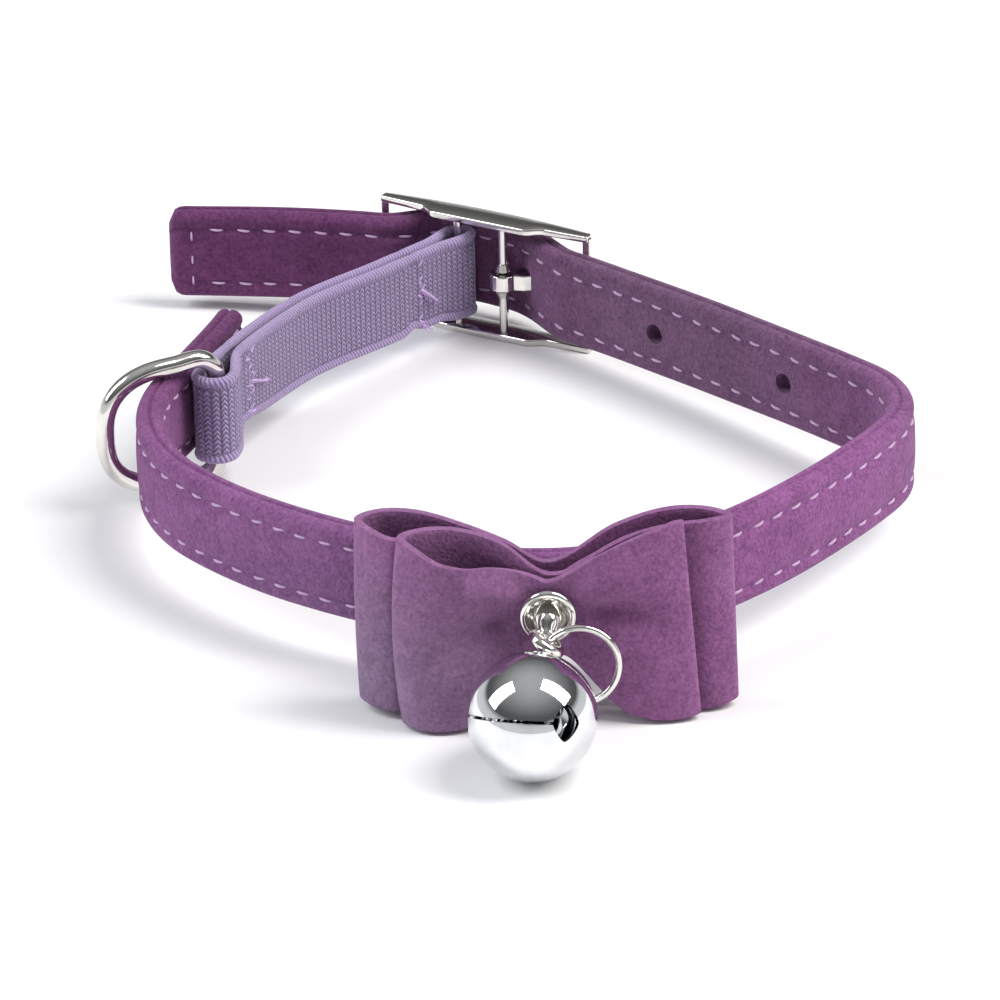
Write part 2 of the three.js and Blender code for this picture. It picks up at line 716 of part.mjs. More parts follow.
const shaftEnd = capSeat + capDepth - gap;
const shaftLength = shaftEnd + discFront + gap;
const shaft = toSolid(rod(postDiameter / 2, shaftLength, 10), alongMatrix(
  new THREE.Vector3(0, shaftEnd - shaftLength / 2, rivetHeight), new THREE.Vector3(0, 1, 0)));
const neckFrom = new THREE.Vector3(0, -discFront - gap / 2, rivetHeight);
const neckTo = eyePlace.clone().add(new THREE.Vector3(0, eyeRadius, 0));
const neckWay = neckTo.clone().sub(neckFrom);
const neckMiddle = neckFrom.clone().addScaledVector(neckWay, 0.5);
const neck = toSolid(rod(postDiameter / 2, neckWay.length() + eyeWire * 0.6, 10),
  alongMatrix(neckMiddle, neckWay));
const eye = toSolid(new THREE.TorusGeometry(eyeRadius, eyeWire / 2, 8, 16),
  alongMatrix(eyePlace, jumpTangent(jumpEyeTurn)));
addPiece('rivet_post', toGeometry(shaft.add(neck).add(eye)), nickel);

// Bell: lies on the floor in front of the bow, its shank turned to the jump ring

const bellRadius = bellDiameter / 2;
const bellPlace = new THREE.Vector3(bellSide, -strapThickness / 2 - bellForward, bellRadius);
const shankPlace = jumpMiddle.clone().add(jumpOffset(jumpShankTurn));
const shankWay = shankPlace.clone().sub(bellPlace);
const shankDirection = shankWay.clone().normalize();
const slitMiddle = shankDirection.clone().negate();
const slitNormal = new THREE.Vector3(-0.16, -0.59, -0.79);
slitNormal.addScaledVector(slitMiddle, -slitNormal.dot(slitMiddle)).normalize();
const slitAlong = new THREE.Vector3().crossVectors(slitNormal, slitMiddle);

function bellPoint(distance, degrees) {
  const turn = THREE.MathUtils.degToRad(degrees);
  return bellPlace.clone().addScaledVector(slitMiddle, distance * Math.cos(turn))
    .addScaledVector(slitAlong, distance * Math.sin(turn));
}

const slitTurn = THREE.MathUtils.degToRad(slitReach);
const slitDepth = bellRadius * (1 - Math.cos(slitTurn)) + bellWall;
const slitBox = new THREE.BoxGeometry(2 * bellRadius * Math.sin(slitTurn), slitWidth, slitDepth);
const slitMatrix = new THREE.Matrix4().makeBasis(slitAlong, slitNormal, slitMiddle)
  .setPosition(bellPlace.clone().addScaledVector(slitMiddle, bellRadius * Math.cos(slitTurn) + slitDepth / 2));
const innerRadius = bellRadius - bellWall;
const atBell = alongMatrix(bellPlace, shankDirection);
const ball = (radius, around, rows) => new THREE.SphereGeometry(radius, around, rows).rotateX(Math.PI / 2);
let bellSolid = toSolid(ball(bellRadius, 22, 13), atBell);
const shankRadius = (shankHole + shankWire) / 2;
const stemLength = shankWay.length() - shankRadius - bellRadius + bellWall;
const stemMiddle = bellPlace.clone().addScaledVector(shankDirection, bellRadius - bellWall / 2 + stemLength / 2);
bellSolid = bellSolid.add(toSolid(rod(shankWire * 0.8, stemLength + bellWall, 9), alongMatrix(stemMiddle, shankDirection)));
bellSolid = bellSolid.subtract(toSolid(ball(innerRadius, 20, 11), atBell));
bellSolid = bellSolid.subtract(toSolid(slitBox, slitMatrix));
[slitReach, -slitReach].forEach((degrees) => {
  const place = bellPoint(bellRadius, degrees);
  const direction = place.clone().sub(bellPlace);
  bellSolid = bellSolid.subtract(toSolid(rod(bellHole / 2, bellWall * 8, 10), alongMatrix(place, direction)));
});
const wireWay = jumpTangent(jumpShankTurn);
const shankNormal = wireWay.addScaledVector(shankDirection, -wireWay.dot(shankDirection)).normalize();
bellSolid = bellSolid.add(toSolid(new THREE.TorusGeometry(shankRadius, shankWire / 2, 6, 14).rotateZ(0.1),
  alongMatrix(shankPlace, shankNormal)));
addPiece('bell', toGeometry(bellSolid), chrome);

const pelletRadius = pelletDiameter / 2;
const pellet = addPiece('bell_pellet', new THREE.IcosahedronGeometry(pelletRadius, 1), nickel);
pellet.position.set(bellPlace.x, bellPlace.y, bellWall + gap + pelletRadius);

// The origin goes to the middle of the footprint

const box = new THREE.Box3().setFromObject(collar);
const middle = box.getCenter(new THREE.Vector3());
collar.position.set(-middle.x, -middle.y, -box.min.z);

export default collar;
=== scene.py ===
import bpy
import math
from mathutils import Matrix, Vector, noise


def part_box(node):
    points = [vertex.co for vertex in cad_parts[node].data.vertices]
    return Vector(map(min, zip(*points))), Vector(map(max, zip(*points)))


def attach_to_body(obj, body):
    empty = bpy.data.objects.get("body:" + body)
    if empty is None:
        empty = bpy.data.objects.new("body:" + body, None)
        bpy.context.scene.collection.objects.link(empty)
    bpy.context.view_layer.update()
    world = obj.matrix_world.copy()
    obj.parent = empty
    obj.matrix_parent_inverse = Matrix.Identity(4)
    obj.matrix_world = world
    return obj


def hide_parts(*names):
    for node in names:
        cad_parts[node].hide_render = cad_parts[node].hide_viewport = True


# Pet bow tie collar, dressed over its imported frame.
# Sizes below are in millimetres and go into the meshes in metres.
# Places are worked out with the strap's middle line passing x = 0, y = 0 behind the bow,
# and rowShift then moves them to the frame.

mm = 0.001
gap = 0.3

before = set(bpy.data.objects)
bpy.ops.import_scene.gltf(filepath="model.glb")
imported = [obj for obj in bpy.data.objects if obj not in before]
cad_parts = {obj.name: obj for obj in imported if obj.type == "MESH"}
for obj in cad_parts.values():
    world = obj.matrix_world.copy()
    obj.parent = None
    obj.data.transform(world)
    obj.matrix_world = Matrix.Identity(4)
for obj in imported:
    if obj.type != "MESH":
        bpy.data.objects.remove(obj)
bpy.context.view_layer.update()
bpy.ops.object.select_all(action="DESELECT")
print("frame loaded")

capSeat = 1.7
capLow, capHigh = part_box("rivet_cap")
rowShift = Vector(((capLow.x + capHigh.x) / 2 / mm, capLow.y / mm - capSeat, 0))


def toRow(point):
    return (Vector(point) + rowShift) * mm


def mix(low, high, share):
    return low + (high - low) * share


def smoothStep(low, high, value):
    share = min(max((value - low) / (high - low), 0), 1)
    return share * share * (3 - 2 * share)


# Camera

camera = {
    "tilt": 27.0,
    "roll": -1.379,
    "distance": 798.343,
    "aim": (-4.413, 41.933, 0),
    "lens": 275.2,
}


def makeCamera():
    tilt = math.radians(camera["tilt"])
    roll = math.radians(camera["roll"])
    ahead = Vector((0, math.cos(tilt), -math.sin(tilt)))
    right = Vector((1, 0, 0))
    up = Vector((0, math.sin(tilt), math.cos(tilt)))
    sideways = right * math.cos(roll) + up * math.sin(roll)
    upwards = up * math.cos(roll) - right * math.sin(roll)
    bpy.ops.object.camera_add()
    view = bpy.context.object
    view.name = "camera"
    view.data.lens = camera["lens"]
    view.data.sensor_width = 36
    view.data.clip_start = 0.05
    view.data.clip_end = 20
    turn = Matrix((sideways, upwards, -ahead)).transposed().to_4x4()
    turn.translation = toRow(Vector(camera["aim"]) - ahead * camera["distance"])
    view.matrix_world = turn
    bpy.context.scene.camera = view


makeCamera()
print("camera placed")


# Mesh helpers

def pick(piece):
    bpy.ops.object.select_all(action="DESELECT")
    piece.select_set(True)
    bpy.context.view_layer.objects.active = piece


def applyModifier(piece, kind, **settings):
    pick(piece)
    modifier = piece.modifiers.new(kind.lower(), kind)
    for name, value in settings.items():
        setattr(modifier, name, value)
    bpy.ops.object.modifier_apply(modifier=modifier.name)


def settle(piece):
    # moves the object's place into its mesh
    pick(piece)
    bpy.ops.object.transform_apply(location=True, rotation=True, scale=True)


def closeUp(piece, fillEnds=False):
    # merges the seams, fills the ends if asked, and turns the faces outwards
    pick(piece)
    bpy.ops.object.mode_set(mode="EDIT")
    bpy.ops.mesh.select_all(action="SELECT")
    bpy.ops.mesh.remove_doubles(threshold=0.000002)
    if fillEnds:
        bpy.ops.mesh.select_all(action="SELECT")
        bpy.ops.mesh.fill_holes(sides=0)
    bpy.ops.mesh.select_all(action="SELECT")
    bpy.ops.mesh.normals_make_consistent(inside=False)
    bpy.ops.object.mode_set(mode="OBJECT")


def softShade(piece, angle=None):
    pick(piece)
    if angle is None:
        bpy.ops.object.shade_smooth()
    else:
        bpy.ops.object.shade_smooth_by_angle(angle=math.radians(angle))


def addSheet(name, columns, rows, place, unwrap=None):
    # a grid whose points go where place(column share, row share) says
    bpy.ops.mesh.primitive_grid_add(x_subdivisions=columns, y_subdivisions=rows, size=2)
    piece = bpy.context.object
    piece.name = name
    mesh = piece.data
    shares = [((vertex.co.x + 1) / 2, (vertex.co.y + 1) / 2) for vertex in mesh.vertices]
    for vertex, (across, up) in zip(mesh.vertices, shares):
        vertex.co = toRow(place(across, up))
    if unwrap:
        for loop in mesh.uv_layers.active.data:
            loop.uv = unwrap(loop.uv.x, loop.uv.y)
    return piece


def addLoop(name, path, radius, around=16):
    # a closed ring of wire along a closed list of points
    count = len(path)
    bpy.ops.mesh.primitive_torus_add(
        major_segments=count, minor_segments=around, major_radius=4, minor_radius=1)
    piece = bpy.context.object
    piece.name = name
    centre = sum((Vector(point) for point in path), Vector()) / count
    planeNormal = Vector()
    for index, point in enumerate(path):
        planeNormal += (Vector(point) - centre).cross(Vector(path[(index + 1) % count]) - centre)
    planeNormal.normalize()
    for vertex in piece.data.vertices:
        turn = math.atan2(vertex.co.y, vertex.co.x) / (2 * math.pi) % 1
        index = round(turn * count) % count
        small = math.atan2(vertex.co.z, math.hypot(vertex.co.x, vertex.co.y) - 4)
        along = (Vector(path[(index + 1) % count]) - Vector(path[index - 1])).normalized()
        side = along.cross(planeNormal).normalized()
        offset = side * (math.cos(small) * radius) + planeNormal * (math.sin(small) * radius)
        vertex.co = toRow(Vector(path[index]) + offset)
    closeUp(piece)
    softShade(piece)
    return piece


def crossAxes(along):
    # two directions square to a line and to each other
    helper = Vector((0, 0, 1)) if abs(along.z) < 0.9 else Vector((1, 0, 0))
    side = along.cross(helper).normalized()
    return side, along.cross(side)


def addTube(name, path, radiusAt, around=10):
    # a rod along a list of points, its ends closed
    points = [Vector(point) for point in path]
    last = len(points) - 1

    def place(across, up):
        index = round(across * last)
        along = (points[min(index + 1, last)] - points[max(index - 1, 0)]).normalized()
        side, other = crossAxes(along)
        turn = up * 2 * math.pi
        radius = radiusAt(index / last)
        return points[index] + (side * math.cos(turn) + other * math.sin(turn)) * radius

    piece = addSheet(name, last, around, place)
    closeUp(piece, fillEnds=True)
    softShade(piece, 60)
    return piece


def closedCurve(rows, count):
    # a smooth closed line through the rows, each a tuple of numbers
    size = len(rows)
    lengths = [
        max(math.dist(rows[index][:2], rows[(index + 1) % size][:2]), 0.5) for index in range(size)]
    total = sum(lengths)
    result = []
    for step in range(count):
        reach = total * step / count
        index = 0
        while reach > lengths[index]:
            reach -= lengths[index]
            index += 1
        share = reach / lengths[index]
        before, here, after, beyond = (rows[(index + shift) % size] for shift in (-1, 0, 1, 2))
        lengthBefore, length, lengthAfter = (
            lengths[(index + shift) % size] for shift in (-1, 0, 1))
        point = []
        for a, b, c, d in zip(before, here, after, beyond):
            slopeHere = ((b - a) / lengthBefore + (c - b) / length) / 2
            slopeAfter = ((c - b) / length + (d - c) / lengthAfter) / 2
            cubic = share ** 3
            square = share ** 2
            point.append(
                b * (2 * cubic - 3 * square + 1) + c * (3 * square - 2 * cubic)
                + slopeHere * length * (cubic - 2 * square + share)
                + slopeAfter * length * (cubic - square))
        result.append(point)
    return result


def joinPieces(pieces, name):
    pick(pieces[0])
    for piece in pieces[1:]:
        piece.select_set(True)
    if len(pieces) > 1:
        bpy.ops.object.join()
    pieces[0].name = name
    return pieces[0]


# Node helpers

def addNode(tree, kind, spot, inputs=None, **settings):
    node = tree.nodes.new(kind)
    node.location = spot
    for name, value in settings.items():
        setattr(node, name, value)
    for name, value in (inputs or {}).items():
        node.inputs[name].default_value = value
    return node


def addMath(tree, operation, spot, first, second=None, third=None):
    node = addNode(tree, "ShaderNodeMath", spot, operation=operation)
    for index, value in enumerate((first, second, third)):
        if value is None:
            continue
        if isinstance(value, (int, float)):
            node.inputs[index].default_value = value
        else:
            tree.links.new(value, node.inputs[index])
    return node.outputs[0]


def addMixColor(tree, spot, factor, first, second):
    node = addNode(tree, "ShaderNodeMix", spot, data_type="RGBA")
    for index, value in ((0, factor), (6, first), (7, second)):
        if isinstance(value, (int, float, tuple)):
            node.inputs[index].default_value = value
        else:
            tree.links.new(value, node.inputs[index])
    return node.outputs[2]


def startGroup(name, inputs, outputs):
    group = bpy.data.node_groups.new(name, "ShaderNodeTree")
    for label, kind in inputs:
        group.interface.new_socket(name=label, in_out="INPUT", socket_type=kind)
    for label, kind in outputs:
        group.interface.new_socket(name=label, in_out="OUTPUT", socket_type=kind)
    start = addNode(group, "NodeGroupInput", (-1200, 0))
    end = addNode(group, "NodeGroupOutput", (900, 0))
    return group, start, end


def startMaterial(name):
    material = bpy.data.materials.new(name)
    material.use_nodes = True
    tree = material.node_tree
    shader = tree.nodes["Principled BSDF"]
    shader.location = (500, 0)
    tree.nodes["Material Output"].location = (800, 0)
    coordinates = addNode(tree, "ShaderNodeTexCoord", (-1400, 0))
    return material, tree, shader, coordinates


def dress(piece, material):
    piece.data.materials.clear()
    piece.data.materials.append(material)


def attach(piece, material, node=None, body="collar"):
    # gives a piece its look and its body, and hides the node that it stands for
    dress(piece, material)
    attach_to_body(piece, body)
    if node:
        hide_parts(node)


# Suede nap, used by the strap and both bows

def makeNapGroup():
    group, start, end = startGroup(
        "suedeNap",
        [("Vector", "NodeSocketVector"), ("Deep", "NodeSocketColor"), ("Lit", "NodeSocketColor"),
         ("Contrast", "NodeSocketFloat")],
        [("Color", "NodeSocketColor"), ("Height", "NodeSocketFloat"), ("Roughness", "NodeSocketFloat")])
    fibres = addNode(group, "ShaderNodeTexNoise", (-900, 200),
                     {"Scale": 2600, "Detail": 3, "Roughness": 0.6, "Distortion": 0.4})
    clumps = addNode(group, "ShaderNodeTexNoise", (-900, -50),
                     {"Scale": 620, "Detail": 4, "Roughness": 0.62, "Distortion": 0.8})
    clouds = addNode(group, "ShaderNodeTexNoise", (-900, -300),
                     {"Scale": 120, "Detail": 3, "Roughness": 0.55})
    for node in (fibres, clumps, clouds):
        group.links.new(start.outputs["Vector"], node.inputs["Vector"])
    fineShare = addMath(group, "MULTIPLY", (-650, 200), fibres.outputs["Fac"], 0.85)
    clumpShare = addMath(group, "MULTIPLY", (-650, -50), clumps.outputs["Fac"], 0.5)
    cloudShare = addMath(group, "MULTIPLY", (-650, -300), clouds.outputs["Fac"], 0.35)
    both = addMath(group, "ADD", (-450, 100), fineShare, clumpShare)
    allThree = addMath(group, "ADD", (-300, 0), both, cloudShare)
    centred = addMath(group, "SUBTRACT", (-150, 0), allThree, 0.85)
    stretched = addMath(group, "MULTIPLY", (0, 0), centred, start.outputs["Contrast"])
    shade = addNode(group, "ShaderNodeClamp", (320, 0))
    group.links.new(addMath(group, "ADD", (160, 0), stretched, 0.5), shade.inputs["Value"])
    color = addMixColor(group, (520, 100), shade.outputs[0], start.outputs["Deep"], start.outputs["Lit"])
    group.links.new(color, end.inputs["Color"])
    group.links.new(both, end.inputs["Height"])
    rough = addMath(group, "MULTIPLY_ADD", (520, -150), shade.outputs[0], -0.12, 0.98)
    group.links.new(rough, end.inputs["Roughness"])
    return group


napGroup = makeNapGroup()


def makeSuede(name, tones, contrast, bump):
    material, tree, shader, coordinates = startMaterial(name)
    split = addNode(tree, "ShaderNodeSeparateXYZ", (-1200, -300))
    tree.links.new(coordinates.outputs["Object"], split.inputs[0])
    # painted light by position: a painted grey sheen towards the front left, strongest low down, and on the
    # strap painted shade that darkens the back and most of all the tail; on the bow the back left takes the
    # painted grey sheen
    leftwards = addNode(tree, "ShaderNodeMapRange", (-1000, -200), {"From Min": 0.012, "From Max": -0.016})
    frontwards = addNode(tree, "ShaderNodeMapRange", (-1000, -450), {"From Min": 0.0, "From Max": -0.034})
    backwards = addNode(tree, "ShaderNodeMapRange", (-1000, -700), {"From Min": -0.012, "From Max": 0.022})
    tree.links.new(split.outputs["X"], leftwards.inputs["Value"])
    tree.links.new(split.outputs["Y"], frontwards.inputs["Value"])
    tree.links.new(split.outputs["Y"], backwards.inputs["Value"])
    downwards = addNode(tree, "ShaderNodeMapRange", (-1000, -950),
                        {"From Min": 0.019, "From Max": 0.006, "To Min": 0.25, "To Max": 1.0})
    tree.links.new(split.outputs["Z"], downwards.inputs["Value"])
    # share of the painted grey sheen: front left, more of it low down
    paintedSheenShare = addMath(tree, "MULTIPLY", (-650, -400), downwards.outputs[0], addMath(
        tree, "MULTIPLY", (-800, -300), leftwards.outputs[0], frontwards.outputs[0]))
    nap = addNode(tree, "ShaderNodeGroup", (-150, 100))
    nap.node_tree = napGroup
    for place, label, tone in ((150, "Deep", tones["deep"]), (-150, "Lit", tones["lit"])):
        front = addMixColor(tree, (-600, place), paintedSheenShare, (*tone["front"], 1), (*tone["frontLeftPaintedSheen"], 1))
        # towards the back: on the strap painted shade, darkest at the tail; on the bow the back left takes
        # the painted grey sheen
        back = addMixColor(
            tree, (-600, place - 120), leftwards.outputs[0], (*tone["back"], 1), (*tone["tail"], 1))
        both = addMixColor(tree, (-400, place), backwards.outputs[0], front, back)
        tree.links.new(both, nap.inputs[label])
    nap.inputs["Contrast"].default_value = contrast
    tree.links.new(coordinates.outputs["Object"], nap.inputs["Vector"])
    tree.links.new(nap.outputs["Color"], shader.inputs["Base Color"])
    tree.links.new(nap.outputs["Roughness"], shader.inputs["Roughness"])
    relief = addNode(tree, "ShaderNodeBump", (200, -250), {"Strength": 0.85, "Distance": bump})
    tree.links.new(nap.outputs["Height"], relief.inputs["Height"])
    tree.links.new(relief.outputs[0], shader.inputs["Normal"])
    shader.inputs["Sheen Weight"].default_value = 0.22
    shader.inputs["Sheen Roughness"].default_value = 0.4
    shader.inputs["Sheen Tint"].default_value = (0.85, 0.6, 0.88, 1)
    shader.inputs["Specular IOR Level"].default_value = 0.1
    return material


# the front-left tones are a painted grey sheen; on the bow the tail tone is that sheen again
strapTones = {
    # on the strap the back and tail tones are painted shade, darkest at the tail
    "deep": {"front": (0.13, 0.042, 0.13), "frontLeftPaintedSheen": (0.105, 0.05, 0.125),
             "back": (0.085, 0.04, 0.085), "tail": (0.075, 0.02, 0.07)},
    "lit": {"front": (0.33, 0.125, 0.32), "frontLeftPaintedSheen": (0.25, 0.135, 0.27),
            "back": (0.2, 0.11, 0.195), "tail": (0.175, 0.06, 0.16)},
}
bowTones = {
    "deep": {"front": (0.135, 0.05, 0.13), "frontLeftPaintedSheen": (0.145, 0.098, 0.172),
             "back": (0.135, 0.05, 0.13), "tail": (0.145, 0.098, 0.172)},
    "lit": {"front": (0.35, 0.145, 0.33), "frontLeftPaintedSheen": (0.32, 0.225, 0.35),
            "back": (0.35, 0.145, 0.33), "tail": (0.32, 0.225, 0.35)},
}
strapSuede = makeSuede("strapSuede", strapTones, 1.9, 0.0003)
bowSuede = makeSuede("bowSuede", bowTones, 1.6, 0.00028)


# Polished plate, used by all the hardware

def makeWearGroup():
    group, start, end = startGroup(
        "plateWear",
        [("Vector", "NodeSocketVector"), ("Clean", "NodeSocketFloat"), ("Worn", "NodeSocketFloat"),
         ("Tone", "NodeSocketColor"), ("Dull Tone", "NodeSocketColor")],
        [("Color", "NodeSocketColor"), ("Roughness", "NodeSocketFloat"), ("Height", "NodeSocketFloat")])
    haze = addNode(group, "ShaderNodeTexNoise", (-900, 150),
                   {"Scale": 420, "Detail": 4, "Roughness": 0.6})
    stretch = addNode(group, "ShaderNodeMapping", (-1050, -150))
    stretch.inputs["Scale"].default_value = (5200, 700, 2400)
    scratches = addNode(group, "ShaderNodeTexNoise", (-850, -150),
                        {"Scale": 1, "Detail": 2, "Roughness": 0.5})
    group.links.new(start.outputs["Vector"], haze.inputs["Vector"])
    group.links.new(start.outputs["Vector"], stretch.inputs["Vector"])
    group.links.new(stretch.outputs[0], scratches.inputs["Vector"])
    fine = addNode(group, "ShaderNodeMapRange", (-600, -150), {"From Min": 0.62, "From Max": 0.8})
    group.links.new(scratches.outputs["Fac"], fine.inputs["Value"])
    soft = addNode(group, "ShaderNodeMapRange", (-600, 150), {"From Min": 0.42, "From Max": 0.75})
    group.links.new(haze.outputs["Fac"], soft.inputs["Value"])
    scratched = addMath(group, "MULTIPLY", (-450, -150), fine.outputs[0], 0.5)
    worn = addMath(group, "MAXIMUM", (-350, 0), scratched, soft.outputs[0])
    span = addMath(group, "SUBTRACT", (-150, 150), start.outputs["Worn"], start.outputs["Clean"])
    rough = addMath(group, "MULTIPLY_ADD", (100, 100), worn, span, start.outputs["Clean"])
    group.links.new(rough, end.inputs["Roughness"])
    color = addMixColor(group, (300, -50), worn, start.outputs["Tone"], start.outputs["Dull Tone"])
    group.links.new(color, end.inputs["Color"])
    group.links.new(haze.outputs["Fac"], end.inputs["Height"])
    return group


wearGroup = makeWearGroup()


def makePlate(name, tone, dull, clean, worn, bump=0.000006):
    material, tree, shader, coordinates = startMaterial(name)
    wear = addNode(tree, "ShaderNodeGroup", (-600, 0))
    wear.node_tree = wearGroup
    wear.inputs["Clean"].default_value = clean
    wear.inputs["Worn"].default_value = worn
    wear.inputs["Tone"].default_value = (*tone, 1)
    wear.inputs["Dull Tone"].default_value = (*dull, 1)
    tree.links.new(coordinates.outputs["Object"], wear.inputs["Vector"])
    tree.links.new(wear.outputs["Color"], shader.inputs["Base Color"])
    tree.links.new(wear.outputs["Roughness"], shader.inputs["Roughness"])
    relief = addNode(tree, "ShaderNodeBump", (100, -250), {"Strength": 0.4, "Distance": bump})
    tree.links.new(wear.outputs["Height"], relief.inputs["Height"])
    tree.links.new(relief.outputs[0], shader.inputs["Normal"])
    shader.inputs["Metallic"].default_value = 1
    return material


nickelPlate = makePlate("nickelPlate", (0.78, 0.76, 0.72), (0.66, 0.64, 0.6), 0.07, 0.17)
bellChrome = makePlate("bellChrome", (0.77, 0.78, 0.79), (0.69, 0.7, 0.72), 0.035, 0.08)
plainSteel = makePlate("plainSteel", (0.5, 0.5, 0.5), (0.38, 0.37, 0.36), 0.3, 0.5)


# Thread

def makeThread(name, tone, shade):
    material, tree, shader, coordinates = startMaterial(name)
    twist = addNode(tree, "ShaderNodeTexNoise", (-800, 0), {"Scale": 4200, "Detail": 2})
    tree.links.new(coordinates.outputs["Object"], twist.inputs["Vector"])
    color = addMixColor(tree, (-400, 100), twist.outputs["Fac"], (*shade, 1), (*tone, 1))
    tree.links.new(color, shader.inputs["Base Color"])
    relief = addNode(tree, "ShaderNodeBump", (100, -250), {"Strength": 0.5, "Distance": 0.00006})
    tree.links.new(twist.outputs["Fac"], relief.inputs["Height"])
    tree.links.new(relief.outputs[0], shader.inputs["Normal"])
    shader.inputs["Roughness"].default_value = 0.55
    shader.inputs["Sheen Weight"].default_value = 0.3
    return material


strapThread = makeThread("strapThread", (0.66, 0.47, 0.68), (0.36, 0.21, 0.39))
elasticThread = makeThread("elasticThread", (0.66, 0.46, 0.78), (0.42, 0.28, 0.56))
print("finishes made")


# Strap

strap = {
    "width": 10.4,
    "thickness": 2.8,
    "edge": 1.1,
    "tailReach": 154.2,
    "lapReach": 87.0,
    "endCorner": 1.6,
    "seamDepth": 0.3,
    "seamWidth": 0.2,
    "channelInset": 2.0,
    "channelDepth": 0.26,
    "channelWidth": 0.36,
    "crown": 0.12,
    "tailLift": 0.5,
    "endRound": 0.9,
    "endThin": 0.75,
    "swell": 0.07,
    "swellScale": 0.09,
    "step": 0.55,
    "facePoints": 26,
}
tailRoute = [(0.045, 18.3), (0.084, 24.9), (0.184, 16.8), (0.096, 70.6), (0.266, 5.5),
             (0.156, 25.7), (0.169, 12.3)]
lapRoute = [(0.081, 20.3), (0.151, 10.6), (0.259, 22.5), (0.299, 59.1), (0.21, -6.5)]
buckle = {
    "share": 0.769,
    "length": 25.4,
    "railThickness": 1.1,
    "window": 11.8,
    "bar": 1.0,
    "prongBar": 2.5,
    "elasticBar": -3.0,
    "elasticThickness": 1.2,
}
frontHeight = 10.45


def walk(route, reach, distance):
    x = y = heading = 0.0
    left = distance
    for index, (share, turn) in enumerate(route):
        length = share * reach
        run = left if index == len(route) - 1 else min(left, length)
        if run <= 0:
            break
        curve = math.radians(turn) / length
        end = heading + curve * run
        x += (math.sin(end) - math.sin(heading)) / curve
        y += (math.cos(heading) - math.cos(end)) / curve
        heading = end
        left -= run
    return Vector((x, y)), heading


def baseFrame(station):
    if station >= 0:
        place, heading = walk(tailRoute, strap["tailReach"], station)
        along = Vector((math.cos(heading), math.sin(heading)))
    else:
        place, heading = walk(lapRoute, strap["lapReach"], -station)
        place.x = -place.x
        along = Vector((math.cos(heading), -math.sin(heading)))
    return place, along, Vector((along.y, -along.x))


buckleStation = buckle["share"] * strap["tailReach"]
buckleMiddle, buckleAlong = baseFrame(buckleStation)[:2]
buckleHeight = buckle["window"] + 2 * buckle["railThickness"]
barRadius = buckle["bar"] / 2
endBarPlace = buckle["length"] / 2 - barRadius - 0.2
weaveRise = barRadius + gap + buckle["elasticThickness"] + gap + strap["thickness"] / 2


def weave(station):
    fromMiddle = buckleStation - station
    crest = buckle["elasticBar"] - buckle["elasticThickness"]
    toTail = crest - fromMiddle
    if toTail > 0:
        fall = endBarPlace + crest
        return weaveRise * (1 + math.cos(math.pi * min(toTail / fall, 1))) / 2
    lead = buckle["prongBar"] - buckle["bar"]
    toBow = max(fromMiddle - lead, 0)
    return weaveRise * (1 + math.cos(math.pi * min(toBow / (endBarPlace - lead), 1))) / 2


def middleHeight(y):
    return mix(frontHeight, buckleHeight / 2, y / buckleMiddle.y)


def strapHeight(station, y):
    # the tail rides up a little in the buckle
    up = smoothStep(buckleStation - 5, buckleStation + 3, station)
    down = 1 - smoothStep(buckleStation + 12, strap["tailReach"], station)
    return middleHeight(y) + strap["tailLift"] * up * down


def strapPlace(station):
    place, along, outward = baseFrame(station)
    return place + outward * weave(station)


def strapFrame(station):
    place = strapPlace(station)
    along = (strapPlace(station + 0.1) - strapPlace(station - 0.1)).normalized()
    return place, along, Vector((along.y, -along.x))


def strapSection():
    # outline of the padded strap, each point with its own way out
    halfThick = strap["thickness"] / 2
    halfWide = strap["width"] / 2
    corner = strap["edge"]
    flatUp = halfWide - corner
    flatOut = halfThick - corner
    count = strap["facePoints"]
    face = [mix(-flatUp, flatUp, step / (count - 1)) for step in range(count)]
    points = [(halfThick, up, 1, 0) for up in face]
    for step in range(1, 6):
        turn = math.pi / 2 * step / 6
        points.append((flatOut + corner * math.cos(turn), flatUp + corner * math.sin(turn),
                       math.cos(turn), math.sin(turn)))
    for step in range(5):
        points.append((mix(flatOut, 0, step / 4), halfWide, 0, 1))
    points += [(-out, up, -wayOut, wayUp) for out, up, wayOut, wayUp in reversed(points[count:-1])]
    lower = [(out, -up, wayOut, -wayUp) for out, up, wayOut, wayUp in reversed(points[count:])]
    backFace = [(-halfThick, mix(flatUp, -flatUp, step / (count - 1)), -1, 0) for step in range(count)]
    return points + backFace + lower


def strapRelief(out, up, wayOut):
    halfWide = strap["width"] / 2
    depth = 0.0
    if abs(wayOut) > 0.9:
        fromChannel = (abs(up) - (halfWide - strap["channelInset"])) / strap["channelWidth"]
        depth += strap["channelDepth"] * math.exp(-fromChannel ** 2)
        depth -= strap["crown"] * max(1 - (up / (halfWide - strap["channelInset"])) ** 2, 0)
    if abs(wayOut) < 0.5:
        depth += strap["seamDepth"] * math.exp(-(out / strap["seamWidth"]) ** 2)
    return depth


sectionPoints = strapSection()
sectionCount = len(sectionPoints)
strapLength = strap["tailReach"] + strap["lapReach"]


